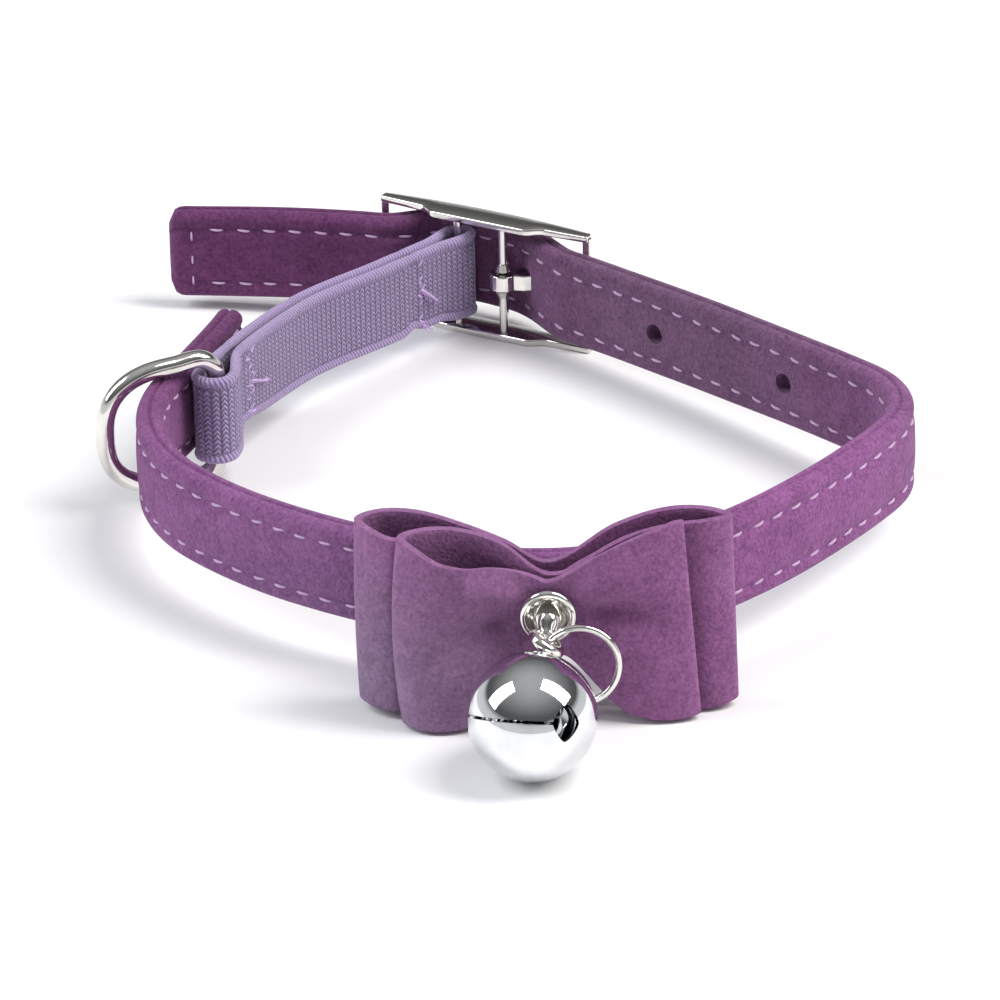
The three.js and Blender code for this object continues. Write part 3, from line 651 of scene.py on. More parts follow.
def makeStrap():
    columns = round(strapLength / strap["step"])
    frames = []
    for column in range(columns + 1):
        share = column / columns
        station = mix(-strap["lapReach"], strap["tailReach"], share)
        place, along, outward = strapFrame(station)
        fromEnd = min(strap["tailReach"] - station, station + strap["lapReach"])
        missing = max(strap["endCorner"] - fromEnd, 0)
        loss = strap["endCorner"] - math.sqrt(max(strap["endCorner"] ** 2 - missing ** 2, 0))
        thin = max(1 - fromEnd / strap["endRound"], 0)
        thickShare = math.sqrt(1 - strap["endThin"] * thin ** 2)
        frames.append((place, outward, strapHeight(station, place.y), loss, thickShare))

    def placeOn(across, up):
        place, outward, height, loss, thickShare = frames[round(across * columns)]
        out, rise, wayOut, wayUp = sectionPoints[round(up * sectionCount) % sectionCount]
        depth = strapRelief(out, rise, wayOut)
        spot = Vector((place.x, place.y, height + rise)) * strap["swellScale"]
        swell = noise.noise(spot) * strap["swell"]
        out = (out - wayOut * (depth - swell)) * thickShare
        squeeze = 1 - loss / (strap["width"] / 2)
        rise = (rise - wayUp * (depth - swell)) * squeeze
        return Vector((place.x + outward.x * out, place.y + outward.y * out, height + rise))

    piece = addSheet("strapPadded", columns, sectionCount, placeOn)
    closeUp(piece, fillEnds=True)
    softShade(piece, 55)
    return piece


def cutWith(piece, cutter):
    applyModifier(piece, "BOOLEAN", object=cutter, operation="DIFFERENCE", solver="EXACT")
    bpy.data.objects.remove(cutter)


def punchHole(piece, station, radius, tilt=0.0):
    place, along, outward = strapFrame(station)
    direction = outward * math.cos(tilt) + along * math.sin(tilt)
    bpy.ops.mesh.primitive_cylinder_add(vertices=28, radius=radius * mm, depth=strap["thickness"] * 3 * mm)
    punch = bpy.context.object
    punch.rotation_euler = Vector((direction.x, direction.y, 0)).to_track_quat("Z", "Y").to_euler()
    punch.location = toRow((place.x, place.y, strapHeight(station, place.y)))
    settle(punch)
    cutWith(piece, punch)


strapHoles = {"diameter": 2.25, "spacing": 19.2, "prongHole": 3.4, "prongWide": 2.6, "prongTilt": -0.5}
prongStation = buckleStation - buckle["prongBar"] - strapHoles["prongHole"]
strapPiece = makeStrap()
for count in (1, 2):
    punchHole(strapPiece, prongStation - count * strapHoles["spacing"], strapHoles["diameter"] / 2)
punchHole(strapPiece, prongStation, strapHoles["prongWide"] / 2, strapHoles["prongTilt"])
attach(strapPiece, strapSuede, "strap")
print("strap made")


# Stitches of the strap

stitches = {
    "pitch": 2.9,
    "length": 1.6,
    "thickness": 0.31,
    "dive": 0.16,
    "endInset": 2.6,
    "lower": 0.12,
    "slant": 0.06,
    "behindBow": (-13, 14),
    "endPlaces": (-2.9, -0.4, 2.4),
    "endSize": 0.7,
}


def makeStitch():
    bpy.ops.mesh.primitive_uv_sphere_add(segments=8, ring_count=7, radius=1)
    stitch = bpy.context.object
    for vertex in stitch.data.vertices:
        # a rounded bar that dives at both ends
        reach = vertex.co.z
        waist = math.sqrt(max(1 - abs(reach) ** 3, 0)) / max(math.sqrt(1 - reach ** 2), 0.02)
        vertex.co = Vector((
            reach * stitches["length"] / 2,
            vertex.co.x * waist * stitches["thickness"] / 2,
            vertex.co.y * waist * stitches["thickness"] / 2 - stitches["dive"] * reach ** 2,
        ))
    return stitch


def copyStitch(model, matrix):
    copy = model.copy()
    copy.data = model.data.copy()
    copy.data.transform(matrix)
    bpy.context.scene.collection.objects.link(copy)
    return copy


def stitchMatrix(station, side, up, slant=0.0, upright=False, lift=0.0, size=1.0):
    place, along, outward = strapFrame(station)
    wayOut = Vector((outward.x, outward.y, 0)) * side
    wayAlong = Vector((along.x, along.y, 0))
    if upright:
        wayAlong = Vector((0, 0, 1))
    wayAlong = (Matrix.Rotation(slant, 3, wayOut) @ wayAlong).normalized()
    across = wayOut.cross(wayAlong)
    depth = strap["thickness"] / 2 - strap["channelDepth"] + stitches["thickness"] * 0.4 + lift
    spot = Vector((place.x, place.y, strapHeight(station, place.y) + up)) + wayOut * depth
    matrix = Matrix((wayAlong, across, wayOut)).transposed().to_4x4() @ Matrix.Scale(mm * size, 4)
    matrix.translation = toRow(spot)
    return matrix


def makeStitches():
    model = makeStitch()
    copies = []
    inset = strap["width"] / 2 - strap["channelInset"]
    first = -strap["lapReach"] + stitches["endInset"]
    last = strap["tailReach"] - stitches["endInset"] - stitches["pitch"]
    count = round((last - first) / stitches["pitch"])
    bowStart, bowEnd = stitches["behindBow"]
    for index in range(count + 1):
        station = mix(first, last, index / count)
        for side in (1, -1):
            if side > 0 and bowStart < station < bowEnd:
                continue  # the bow hides these
            for up in (inset, -inset):
                wobble = noise.noise(Vector((station * 0.7, up * 3.1, side * 5.3)))
                copies.append(copyStitch(model, stitchMatrix(
                    station + wobble * 0.35, side, up - stitches["lower"] + wobble * 0.12,
                    slant=stitches["slant"] * side + wobble * 0.2)))
    for side in (1, -1):
        for up in stitches["endPlaces"]:
            copies.append(copyStitch(model, stitchMatrix(
                last + stitches["pitch"], side, up, upright=True,
                lift=strap["channelDepth"] - 0.02, size=stitches["endSize"])))
    bpy.data.objects.remove(model)
    piece = joinPieces(copies, "strapStitches")
    softShade(piece)
    return piece


stitchPiece = makeStitches()
attach(stitchPiece, strapThread)
print("stitches sewn")


# Buckle: x runs along the frame towards the bow, y outward

buckleTurn = math.atan2(-buckleAlong.y, -buckleAlong.x)
rails = {
    "depth": 3.2,
    "bossLength": 11.0,
    "bossRamp": 2.0,
    "tipDepth": 1.2,
    "setback": 1.0,
    "plate": 0.78,
    "bevel": 0.22,
}
collars = {"diameter": 1.8, "height": 0.8, "flare": 0.12}
prongWidth = 1.8
nodeGrain = 0.08


def fromBuckle(point):
    x, y, z = point
    turn = Matrix.Rotation(buckleTurn, 2)
    place = buckleMiddle + turn @ Vector((x, y))
    return Vector((place.x, place.y, z))


def strapInBuckle(x, outwardBy=0.0):
    place, along, outward = strapFrame(buckleStation - x)
    local = place + outward * outwardBy - buckleMiddle
    return Matrix.Rotation(-buckleTurn, 2) @ local


endBars = [strapInBuckle(side * endBarPlace, strap["thickness"] / 2 + gap + barRadius) for side in (1, -1)]


def railEdges(x):
    half = buckle["length"] / 2
    share = (x / half + 1) / 2
    barLine = mix(endBars[1].y, endBars[0].y, share)
    tip = rails["tipDepth"] / 2
    bossHalf = rails["bossLength"] / 2
    rampEnd = bossHalf + rails["bossRamp"]
    if abs(x) < rampEnd:
        inner = -rails["setback"] * (1 - smoothStep(bossHalf, rampEnd, abs(x)))
    else:
        inner = (abs(x) - rampEnd) / (half - rampEnd) * (endBars[0 if x > 0 else 1].y - tip)
    crest = rails["depth"] - rails["setback"]
    outer = mix(barLine + tip, crest, 1 - (x / half) ** 2)
    return inner, outer


def makeRail(bottom):
    half = buckle["length"] / 2

    def placeOn(across, up):
        x = mix(-half, half, across)
        inner, outer = railEdges(x)
        return fromBuckle((x, mix(inner, outer, up), bottom))

    piece = addSheet("rail", 72, 2, placeOn)
    pick(piece)
    bpy.ops.object.mode_set(mode="EDIT")
    bpy.ops.mesh.select_all(action="SELECT")
    bpy.ops.mesh.extrude_region_move(
        TRANSFORM_OT_translate={"value": (0, 0, rails["plate"] * mm)})
    bpy.ops.mesh.select_all(action="SELECT")
    bpy.ops.mesh.normals_make_consistent(inside=False)
    bpy.ops.object.mode_set(mode="OBJECT")
    applyModifier(piece, "BEVEL", width=rails["bevel"] * mm, segments=3, limit_method="ANGLE",
                  angle_limit=math.radians(35))
    return piece


def makeRod(x, y, low, high, lowRadius, highRadius=None):
    top = lowRadius if highRadius is None else highRadius
    path = [fromBuckle((x, y, mix(low, high, step / 12))) for step in range(13)]
    return addTube("rod", path, lambda share: mix(lowRadius, top, share), around=20)


def makeBuckle():
    parts = [makeRail(0), makeRail(buckleHeight - rails["plate"])]
    low = rails["plate"] * 0.5
    high = buckleHeight - low
    middle = buckleHeight / 2
    for bar in endBars:
        parts.append(makeRod(bar.x, bar.y, low, high, barRadius))
    for place in (buckle["prongBar"], buckle["elasticBar"]):
        parts.append(makeRod(place, 0, low, high, barRadius))
    wide = collars["diameter"] / 2
    slim = barRadius + collars["flare"]
    start = prongWidth / 2 + gap
    spot = buckle["prongBar"]
    parts.append(makeRod(spot, 0, middle + start, middle + start + collars["height"], wide, slim))
    parts.append(makeRod(spot, 0, middle - start - collars["height"], middle - start, slim, wide))
    piece = joinPieces(parts, "buckleFrame")
    softShade(piece, 40)
    return piece


bucklePiece = makeBuckle()
attach(bucklePiece, nickelPlate, "buckle_frame")


def softenNode(node, name):
    # the node's own shape again, with its edges rounded over
    piece = bpy.data.objects.new(name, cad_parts[node].data.copy())
    bpy.context.scene.collection.objects.link(piece)
    closeUp(piece)
    applyModifier(piece, "REMESH", mode="VOXEL", voxel_size=nodeGrain * mm, adaptivity=0)
    applyModifier(piece, "SMOOTH", factor=0.5, iterations=4)
    softShade(piece)
    attach(piece, nickelPlate, node)


softenNode("buckle_prong", "buckleProng")
print("buckle made")


# D-ring

dRing = {
    "wire": 1.95,
    "innerHeight": 11.3,
    "share": 0.81,
    "leg": 4.4,
    "arcDepth": 8.0,
    "turn": 45.0,
    "fullness": 2.6,
}
ringRadius = dRing["wire"] / 2
ringMiddle, ringAlong, ringOutward = baseFrame(-dRing["share"] * strap["lapReach"])
ringInward = strap["thickness"] / 2 + gap + buckle["elasticThickness"] + gap + ringRadius
ringBar = ringMiddle - ringOutward * ringInward


def makeDRing():
    half = dRing["innerHeight"] / 2 + ringRadius
    bend = ringRadius * 1.3
    power = 2 / dRing["fullness"]
    rows = []
    for degrees in range(-90, 91, 15):
        turn = math.radians(degrees)
        side = abs(math.cos(turn)) ** power
        up = math.copysign(abs(math.sin(turn)) ** power, math.sin(turn))
        rows.append((dRing["leg"] + dRing["arcDepth"] * side, half * up))
    rows += [(bend, half), (0, half - bend), (0, half / 3), (0, -half / 3), (0, -half + bend), (bend, -half)]
    way = math.atan2(ringOutward.y, ringOutward.x) + math.radians(dRing["turn"])
    height = middleHeight(ringBar.y)
    path = [
        Vector((ringBar.x + math.cos(way) * x, ringBar.y + math.sin(way) * x, height + z))
        for x, z in closedCurve(rows, 128)]
    return addLoop("dRing", path, ringRadius, around=20)


ringPiece = makeDRing()
attach(ringPiece, nickelPlate, "d_ring", body="d_ring")
print("D-ring made")


# Elastic

elastic = {
    "width": 10.0,
    "middleThickness": 0.86,
    "cordRadius": 0.56,
    "cordPlace": 4.44,
    "groove": 3.84,
    "layerGap": 0.4,
    "pinch": 5.0,
    "meetAngle": 77.0,
    "lapShare": 0.35,
    "startHandle": 0.5,
    "endHandle": 0.3,
    "raised": 0.5,
}
elasticEnd = fromBuckle((buckle["elasticBar"], 0, 0)).to_2d()
elasticSpan = (elasticEnd - ringBar).length
spanWay = (elasticEnd - ringBar).normalized()
startAlong = -ringAlong
meetTurn = buckleTurn + math.radians(elastic["meetAngle"])
endAlong = Vector((math.cos(meetTurn), math.sin(meetTurn)))
handles = [
    ringBar,
    ringBar + startAlong * elasticSpan * elastic["startHandle"],
    elasticEnd - endAlong * elasticSpan * elastic["endHandle"],
    elasticEnd,
]
startSpread = ringRadius + gap + buckle["elasticThickness"] / 2
endSpread = barRadius + gap + buckle["elasticThickness"] / 2
pinchSpread = (buckle["elasticThickness"] + elastic["layerGap"]) / 2


def elasticCurve(share):
    rest = 1 - share
    place = (handles[0] * rest ** 3 + handles[1] * 3 * rest ** 2 * share
             + handles[2] * 3 * rest * share ** 2 + handles[3] * share ** 3)
    along = ((handles[1] - handles[0]) * rest ** 2 + (handles[2] - handles[1]) * 2 * rest * share
             + (handles[3] - handles[2]) * share ** 2).normalized()
    return place, along


def elasticSpread(share):
    fromStart = share * elasticSpan
    fromEnd = (1 - share) * elasticSpan
    half = (pinchSpread
            + (startSpread - pinchSpread) * (1 - smoothStep(0, elastic["pinch"], fromStart))
            + (endSpread - pinchSpread) * (1 - smoothStep(0, elastic["pinch"], fromEnd)))
    outer = mix(startSpread, half, smoothStep(elastic["lapShare"], elastic["lapShare"] * 2, share))
    return 2 * half - outer, outer


def elasticLine(steps=110, turnSteps=16):
    line = []

    def side(share, sign):
        place, along = elasticCurve(share)
        inward = Vector((along.y, -along.x))
        inner, outer = elasticSpread(share)
        return place + inward * (inner if sign > 0 else -outer)

    def turnRound(centre, along, spread):
        for step in range(1, turnSteps):
            angle = math.atan2(along.y, along.x) - math.pi / 2 + math.pi * step / turnSteps
            line.append(centre + Vector((math.cos(angle), math.sin(angle))) * spread)

    for step in range(steps + 1):
        line.append(side(step / steps, 1))
    turnRound(elasticEnd, endAlong, endSpread)
    for step in range(steps + 1):
        line.append(side(1 - step / steps, -1))
    turnRound(ringBar, -startAlong, startSpread)
    return line


tacks = {"thickness": 0.26, "strokes": 10, "width": 1.5, "first": 6.2, "second": 8.4, "drawnUp": 7.4}


def tackPinch(share):
    # how far the tacks draw the lower edge up
    first = tacks["drawnUp"] / elasticSpan
    second = 1 - tacks["second"] / elasticSpan
    return sum(
        depth * math.exp(-((share - place) * elasticSpan / reach) ** 2)
        for place, reach, depth in ((first, 2.6, 0.5), (second, 1.2, 0.55)))


def tackDent(share, up):
    # the tacks pull the two layers together, with small gathers beside them
    total = 0.0
    for place, reach in ((tacks["first"] / elasticSpan, 1.1), (1 - tacks["second"] / elasticSpan, 0.7)):
        away = (share - place) * elasticSpan
        gathers = 0.05 * math.sin(away * 4.2 + up * 2.6) * math.exp(-(away / (reach * 2.2)) ** 2)
        total += 0.2 * math.exp(-(away / reach) ** 2) + gathers
    return total * (1 - smoothStep(3.6, 4.4, abs(up)) * 0.6)


def elasticSection():
    # one face from the bottom edge to the top one, then the other face back
    half = []
    for step in range(45):
        up = mix(-elastic["width"] / 2 + 0.002, elastic["width"] / 2 - 0.002, step / 44)
        fromCord = abs(up) - elastic["cordPlace"]
        cord = math.sqrt(max(elastic["cordRadius"] ** 2 - fromCord ** 2, 0.0001))
        flat = elastic["middleThickness"] / 2
        groove = 0.16 * math.exp(-((abs(up) - elastic["groove"]) / 0.12) ** 2)
        thick = max(cord, flat - groove) if abs(up) < elastic["cordPlace"] else cord
        half.append((thick, up))
    return half + [(-thick, up) for thick, up in reversed(half)]


def makeElastic():
    line = elasticLine()
    count = len(line)
    lengths = [0.0]
    for index in range(count):
        lengths.append(lengths[-1] + (line[(index + 1) % count] - line[index]).length)
    section = elasticSection()
    around = len(section)

    def placeOn(across, up):
        index = round(across * count) % count
        along = (line[(index + 1) % count] - line[index - 1]).normalized()
        out = Vector((along.y, -along.x))
        thick, rise = section[round(up * around) % around]
        place = line[index] + out * thick
        share = min(max((line[index] - ringBar).dot(spanWay) / elasticSpan, 0), 1)
        onFlat = smoothStep(0.06, 0.16, share) * (1 - smoothStep(0.9, 0.97, share))
        drawn = (elastic["raised"] * onFlat + tackPinch(share)) * (0.5 - rise / elastic["width"])
        dent = tackDent(share, rise)
        place -= out * dent * math.copysign(1, thick)
        rise += drawn
        return Vector((place.x, place.y, middleHeight(line[index].y) + rise))

    def unwrap(across, up):
        # millimetres along the webbing and up it
        index = min(round(across * count), count)
        step = min(round(up * around), around)
        rise = section[step % around][1]
        return lengths[index], rise

    piece = addSheet("elasticWebbing", count, around, placeOn, unwrap)
    closeUp(piece)
    softShade(piece, 70)
    return piece


def makeWebbing():
    material, tree, shader, coordinates = startMaterial("lilacWebbing")
    split = addNode(tree, "ShaderNodeSeparateXYZ", (-1200, 0))
    tree.links.new(coordinates.outputs["UV"], split.inputs[0])
    along = split.outputs["X"]
    up = split.outputs["Y"]
    # knitted columns, each a row of slanted loops
    column = addMath(tree, "DIVIDE", (-1000, 200), along, knit["column"])
    inColumn = addMath(tree, "ABSOLUTE", (-700, 200), addMath(
        tree, "SUBTRACT", (-850, 200), addMath(tree, "FRACT", (-920, 200), column), 0.5))
    rib = addMath(tree, "SUBTRACT", (-550, 200), 1.0, addMath(tree, "POWER", (-620, 200), addMath(
        tree, "MULTIPLY", (-660, 260), inColumn, 2.0), 2.2))
    slanted = addMath(tree, "MULTIPLY_ADD", (-700, 0), inColumn, knit["slant"], addMath(
        tree, "DIVIDE", (-850, 0), up, knit["loop"]))
    wave = addMath(tree, "SINE", (-400, 0), addMath(tree, "MULTIPLY", (-550, 0), slanted, 2 * math.pi))
    loopHeight = addMath(tree, "MULTIPLY_ADD", (-250, 0), wave, 0.42, 0.56)
    loops = addMath(tree, "MULTIPLY", (-100, 100), rib, loopHeight)
    # close ribs across the hems
    hemWave = addMath(tree, "SINE", (-550, -250), addMath(tree, "MULTIPLY", (-700, -250), addMath(
        tree, "MULTIPLY_ADD", (-850, -250), up, 0.35, along), 2 * math.pi / knit["hemRib"]))
    hemRibs = addMath(tree, "MULTIPLY_ADD", (-400, -250), hemWave, 0.2, 0.5)
    fromMiddle = addMath(tree, "ABSOLUTE", (-850, -450), up)
    onHem = addNode(tree, "ShaderNodeMapRange", (-650, -450),
                    {"From Min": elastic["groove"] - 0.08, "From Max": elastic["groove"] + 0.08})
    tree.links.new(fromMiddle, onHem.inputs["Value"])
    blend = addNode(tree, "ShaderNodeMix", (50, 0), data_type="FLOAT")
    tree.links.new(onHem.outputs[0], blend.inputs[0])
    tree.links.new(loops, blend.inputs[2])
    tree.links.new(hemRibs, blend.inputs[3])
    height = blend.outputs[0]
    fuzz = addNode(tree, "ShaderNodeTexNoise", (-300, 350), {"Scale": 3600, "Detail": 3})
    tree.links.new(coordinates.outputs["Object"], fuzz.inputs["Vector"])
    rough = addMath(tree, "MULTIPLY_ADD", (-100, 350), fuzz.outputs["Fac"], 0.3, height)
    # colour follows the knit's relief, darker where it is low: painted shade in the knit's hollows; the fuzz
    # noise adds random tone
    deep = addNode(tree, "ShaderNodeMapRange", (200, 200), {"From Min": 0.15, "From Max": 0.95})
    tree.links.new(rough, deep.inputs["Value"])
    color = addMixColor(tree, (380, 300), deep.outputs[0], (*knit["deep"], 1), (*knit["lit"], 1))
    tree.links.new(color, shader.inputs["Base Color"])
    relief = addNode(tree, "ShaderNodeBump", (250, -250), {"Strength": 1.0, "Distance": 0.0003})
    tree.links.new(rough, relief.inputs["Height"])
    tree.links.new(relief.outputs[0], shader.inputs["Normal"])
    shader.inputs["Roughness"].default_value = 0.8
    shader.inputs["Sheen Weight"].default_value = 0.25
    shader.inputs["Specular IOR Level"].default_value = 0.25
    return material


knit = {
    "column": 0.74,
    "loop": 0.56,
    "slant": 1.5,
    "hemRib": 0.42,
    # the deep tone is painted shade in the knit's hollows
    "deep": (0.14, 0.1, 0.215),
    "lit": (0.48, 0.365, 0.62),
}
elasticPiece = makeElastic()
attach(elasticPiece, makeWebbing(), "elastic")
print("elastic made")


# Tacks that hold the two layers together, with their loose ends

def elasticFace(share, up):
    # a point on the inner layer's inner face
    place, along = elasticCurve(share)
    inward = Vector((along.y, -along.x))
    out = elasticSpread(share)[0] + elastic["middleThickness"] / 2 + 0.03 - tackDent(share, up)
    spot = place + inward * out
    return Vector((spot.x, spot.y, middleHeight(place.y) + up)), Vector((inward.x, inward.y, 0))


def makeTack(share, width, looseEnds):
    # slanting strokes up the webbing, then the loose ends
    parts = []
    strokes = tacks["strokes"]
    for index in range(strokes):
        up = mix(-3.3, 3.6, index / (strokes - 1))
        sway = noise.noise(Vector((index * 1.7, share * 9, 0.4))) * 0.3
        slope = (0.9 if index % 2 else -0.5) + sway
        path = []
        for step in range(9):
            turn = step / 8
            spot, inward = elasticFace(
                share + (sway + (turn - 0.5) * width) / elasticSpan, up + (turn - 0.5) * slope)
            path.append(spot + inward * (math.sin(math.pi * turn) * 0.17 - 0.1))
        parts.append(addTube("tack", path, lambda t: tacks["thickness"] / 2, around=8))
    for start, run, fall, stand, thick in looseEnds:
        path = []
        for step in range(13):
            turn = step / 12
            spot, inward = elasticFace(share + run * turn / elasticSpan, start + fall * turn)
            path.append(spot + inward * (math.sin(math.pi * turn * 0.8) * stand))
        parts.append(addTube("looseEnd", path, lambda t: mix(thick, thick * 0.4, t), around=8))
    return parts


tackPiece = joinPieces(
    makeTack(tacks["first"] / elasticSpan, tacks["width"],
             [(0.3, 2.4, -0.9, 0.7, 0.2), (0.0, 2.0, -0.2, 0.6, 0.14)])
    + makeTack(1 - tacks["second"] / elasticSpan, tacks["width"] * 0.55,
               [(0.6, 2.2, -1.9, 0.8, 0.22), (0.3, 2.5, -1.5, 0.6, 0.15), (-3.6, 1.5, -1.0, 0.6, 0.13),
                (-3.7, 0.7, -1.1, 0.5, 0.12)]),
    "elasticTacks")
attach(tackPiece, elasticThread)
print("tacks sewn")


# Bow: each row is x, front at the bottom, front at the top, bottom edge, top edge

bow = {"thickness": 0.8, "bevel": 0.26, "columns": 200, "rows": 30}
backRows = [
    (0.0, 3.35, 3.35, 7.4, 14.4),
    (3.5, 3.35, 3.35, 4.8, 16.2),
    (8.0, 3.5, 3.2, 1.6, 18.7),
    (12.5, 4.4, 4.0, 0.6, 20.3),
    (16.0, 5.0, 4.5, 0.5, 20.9),
    (18.1, 3.8, 3.6, 1.0, 21.0),
    (16.0, 2.4, 2.5, 0.9, 21.2),
    (12.0, 2.2, 2.2, 0.9, 21.1),
    (7.0, 2.05, 2.05, 2.2, 19.5),
    (0.0, 2.05, 2.05, 7.4, 15.6),
    (-4.0, 2.0, 2.0, 4.8, 17.9),
    (-8.4, 1.6, 1.6, 1.8, 19.7),
    (-13.0, 1.0, 1.0, 1.0, 20.9),
    (-16.5, 0.8, 0.8, 1.0, 20.9),
    (-18.4, 2.2, 2.2, 1.2, 20.8),
    (-17.0, 4.2, 4.2, 1.0, 20.4),
    (-15.0, 5.1, 5.0, 1.0, 19.9),
    (-12.0, 3.5, 3.4, 1.0, 19.7),
    (-8.4, 2.9, 2.8, 1.8, 18.9),
    (-4.0, 3.25, 3.25, 4.8, 16.8),
]
frontRows = [
    (0.0, 5.95, 5.95, 7.8, 15.4),
    (2.4, 5.95, 6.0, 6.3, 16.4),
    (4.6, 6.2, 6.4, 4.0, 18.0),
    (7.2, 6.9, 6.9, 1.6, 19.7),
    (10.0, 7.4, 7.1, 0.6, 21.0),
    (12.4, 7.2, 6.7, 0.5, 21.6),
    (13.8, 6.4, 6.1, 0.7, 21.7),
    (12.4, 5.7, 5.6, 0.9, 21.1),
    (9.0, 5.4, 5.3, 1.2, 19.6),
    (5.0, 4.9, 5.0, 4.0, 17.4),
    (0.0, 4.65, 4.65, 7.8, 15.6),
    (-4.5, 4.6, 4.5, 3.6, 19.0),
    (-8.5, 4.3, 4.3, 1.0, 20.4),
    (-12.0, 5.0, 5.0, 0.6, 20.9),
    (-14.2, 6.4, 6.4, 0.6, 20.8),
    (-13.0, 8.0, 7.8, 0.5, 20.2),
    (-10.8, 8.7, 8.8, 0.5, 19.1),
    (-8.2, 8.2, 8.7, 0.6, 18.5),
    (-5.6, 6.9, 6.9, 1.4, 17.6),
    (-3.2, 6.1, 5.9, 4.2, 16.6),
    (-1.4, 5.95, 5.8, 6.6, 15.9),
]
rivetHeight = frontHeight + 1.6


def makeBow(name, rows, folds, lean, belly):
    # lean and belly: how the right end slants and the left one bulges
    line = closedCurve(rows, bow["columns"])
    count = len(line)
    reach = max(abs(row[0]) for row in rows)

    def placeOn(across, up):
        column = round(across * count) % count
        x, frontLow, frontHigh, low, high = line[column]
        z = mix(low, high, up)
        front = mix(frontLow, frontHigh, up)
        isFront = column < count * 0.3 or column > count * 0.7
        away = math.hypot(x, z - rivetHeight)
        strength = smoothStep(2.4, 5.6, away) * (1 - smoothStep(7.0, 14.5, away)) * smoothStep(0, 2.5, abs(x))
        angle = math.degrees(math.atan2(z - rivetHeight, abs(x)))
        side = folds["right"] if x > 0 else folds["left"]
        ripple = 0.0
        for middle, spread, depth in side:
            ripple += depth * math.exp(-((angle - middle) / spread) ** 2)
        front += ripple * strength * (1.0 if isFront else -0.2)
        endShare = smoothStep(0.72, 1.0, abs(x) / reach)
        if x > 0:
            x += lean * (0.5 - up) * endShare
        else:
            x -= belly * (1 - (2 * up - 1) ** 2) * endShare
        wander = noise.noise(Vector((x * 0.16, front * 0.3, z * 0.12)))
        return Vector((x, -front + wander * 0.12 * smoothStep(3.5, 8, away), z))

    piece = addSheet(name, count, bow["rows"], placeOn)
    closeUp(piece)
    applyModifier(piece, "SOLIDIFY", thickness=bow["thickness"] * mm, offset=0, use_even_offset=True)
    applyModifier(piece, "BEVEL", width=bow["bevel"] * mm, segments=2, limit_method="ANGLE",
                  angle_limit=math.radians(60))
    softShade(piece)
    return piece


def sheetArea(rows):
    line = closedCurve(rows, bow["columns"])
    area = 0.0
    length = 0.0
    for index, here in enumerate(line):
        after = line[(index + 1) % len(line)]
        run = math.dist((here[0], here[1]), (after[0], after[1]))
        area += run * (here[4] - here[3])
        length += run
    height = max(row[4] for row in rows) - min(row[3] for row in rows)
    return length, height, area


# each fold: its angle from the rivet, its spread, and how far it stands out
frontFolds = {
    "left": [(30, 13, 0.9), (-16, 16, -1.7), (-50, 10, 0.5), (-72, 12, -0.5)],
    "right": [(31, 12, 0.95), (1, 13, -1.15), (-32, 12, 0.5), (-62, 14, -0.6)],
}
backFolds = {
    "left": [(30, 18, 0.12), (-20, 18, -0.12)],
    "right": [(24, 18, 0.12), (-22, 18, -0.12)],
}
for name, node, rows, folds, lean, belly in (
    ("bowBack", "bow_back", backRows, backFolds, 0.5, 0.2),
    ("bowFront", "bow_front", frontRows, frontFolds, 1.6, 0.7),
):
    piece = makeBow(name, rows, folds, lean, belly)
    length, height, area = sheetArea(rows)
    attach(piece, bowSuede, node)
print("bow made")


# Rivet, jump ring and bell

rivet = {
    "discBack": 6.75,
    "disc": 5.7,
    "discThickness": 0.8,
    "neckStart": 1.15,
    "neckEnd": 0.82,
    "eyeWire": 1.3,
    "eyeHole": 1.4,
    "eyeSide": 0.2,
    "eyeDrop": 1.6,
    "grain": 0.075,
}
jump = {"wire": 0.7, "diameter": 7.8, "lean": 8.0, "eyeTurn": 144.0, "shankTurn": -95.0}
bell = {
    "diameter": 12.8,
    "wall": 0.5,
    "forward": 15.8,
    "side": -1.8,
    "slit": 0.32,
    "reach": 64.0,
    "holeLength": 3.0,
    "holeWidth": 3.7,
    "holePoint": 1.35,
    "shankWire": 0.7,
    "shankHole": 2.1,
    "slitNormal": (-0.069, -0.398, -0.914),
}


def spinProfile(name, profile, centre, direction, steps=72):
    # a turned piece: profile holds radius and height along the direction
    axis = Vector(direction).normalized()
    side, other = crossAxes(axis)
    last = len(profile) - 1

    def placeOn(across, up):
        radius, height = profile[round(up * last)]
        turn = across * 2 * math.pi
        return Vector(centre) + axis * height + (side * math.cos(turn) + other * math.sin(turn)) * radius

    piece = addSheet(name, steps, last, placeOn)
    closeUp(piece, fillEnds=True)
    return piece


discFront = rivet["discBack"] + rivet["discThickness"]
discRadius = rivet["disc"] / 2
discProfile = [(0.0, 0.0), (discRadius - 0.35, 0.0), (discRadius - 0.1, 0.08), (discRadius, 0.3),
               (discRadius - 0.03, 0.52), (discRadius - 0.16, 0.71), (discRadius - 0.36, 0.8),
               (discRadius - 0.58, 0.78), (discRadius - 0.85, 0.66), (discRadius - 1.25, 0.54),
               (discRadius - 1.8, 0.47), (0.0, 0.45)]
discPiece = spinProfile("rivetDisc", discProfile, (0, -rivet["discBack"], rivetHeight), (0, -1, 0))
softShade(discPiece, 50)
attach(discPiece, nickelPlate, "rivet_disc")

jumpLean = math.radians(jump["lean"])
jumpUp = Vector((0, math.sin(jumpLean), math.cos(jumpLean)))
jumpRadius = jump["diameter"] / 2


def jumpOffset(degrees):
    turn = math.radians(degrees)
    return Vector((1, 0, 0)) * jumpRadius * math.cos(turn) + jumpUp * jumpRadius * math.sin(turn)


def jumpTangent(degrees):
    return jumpOffset(degrees + 90).normalized()


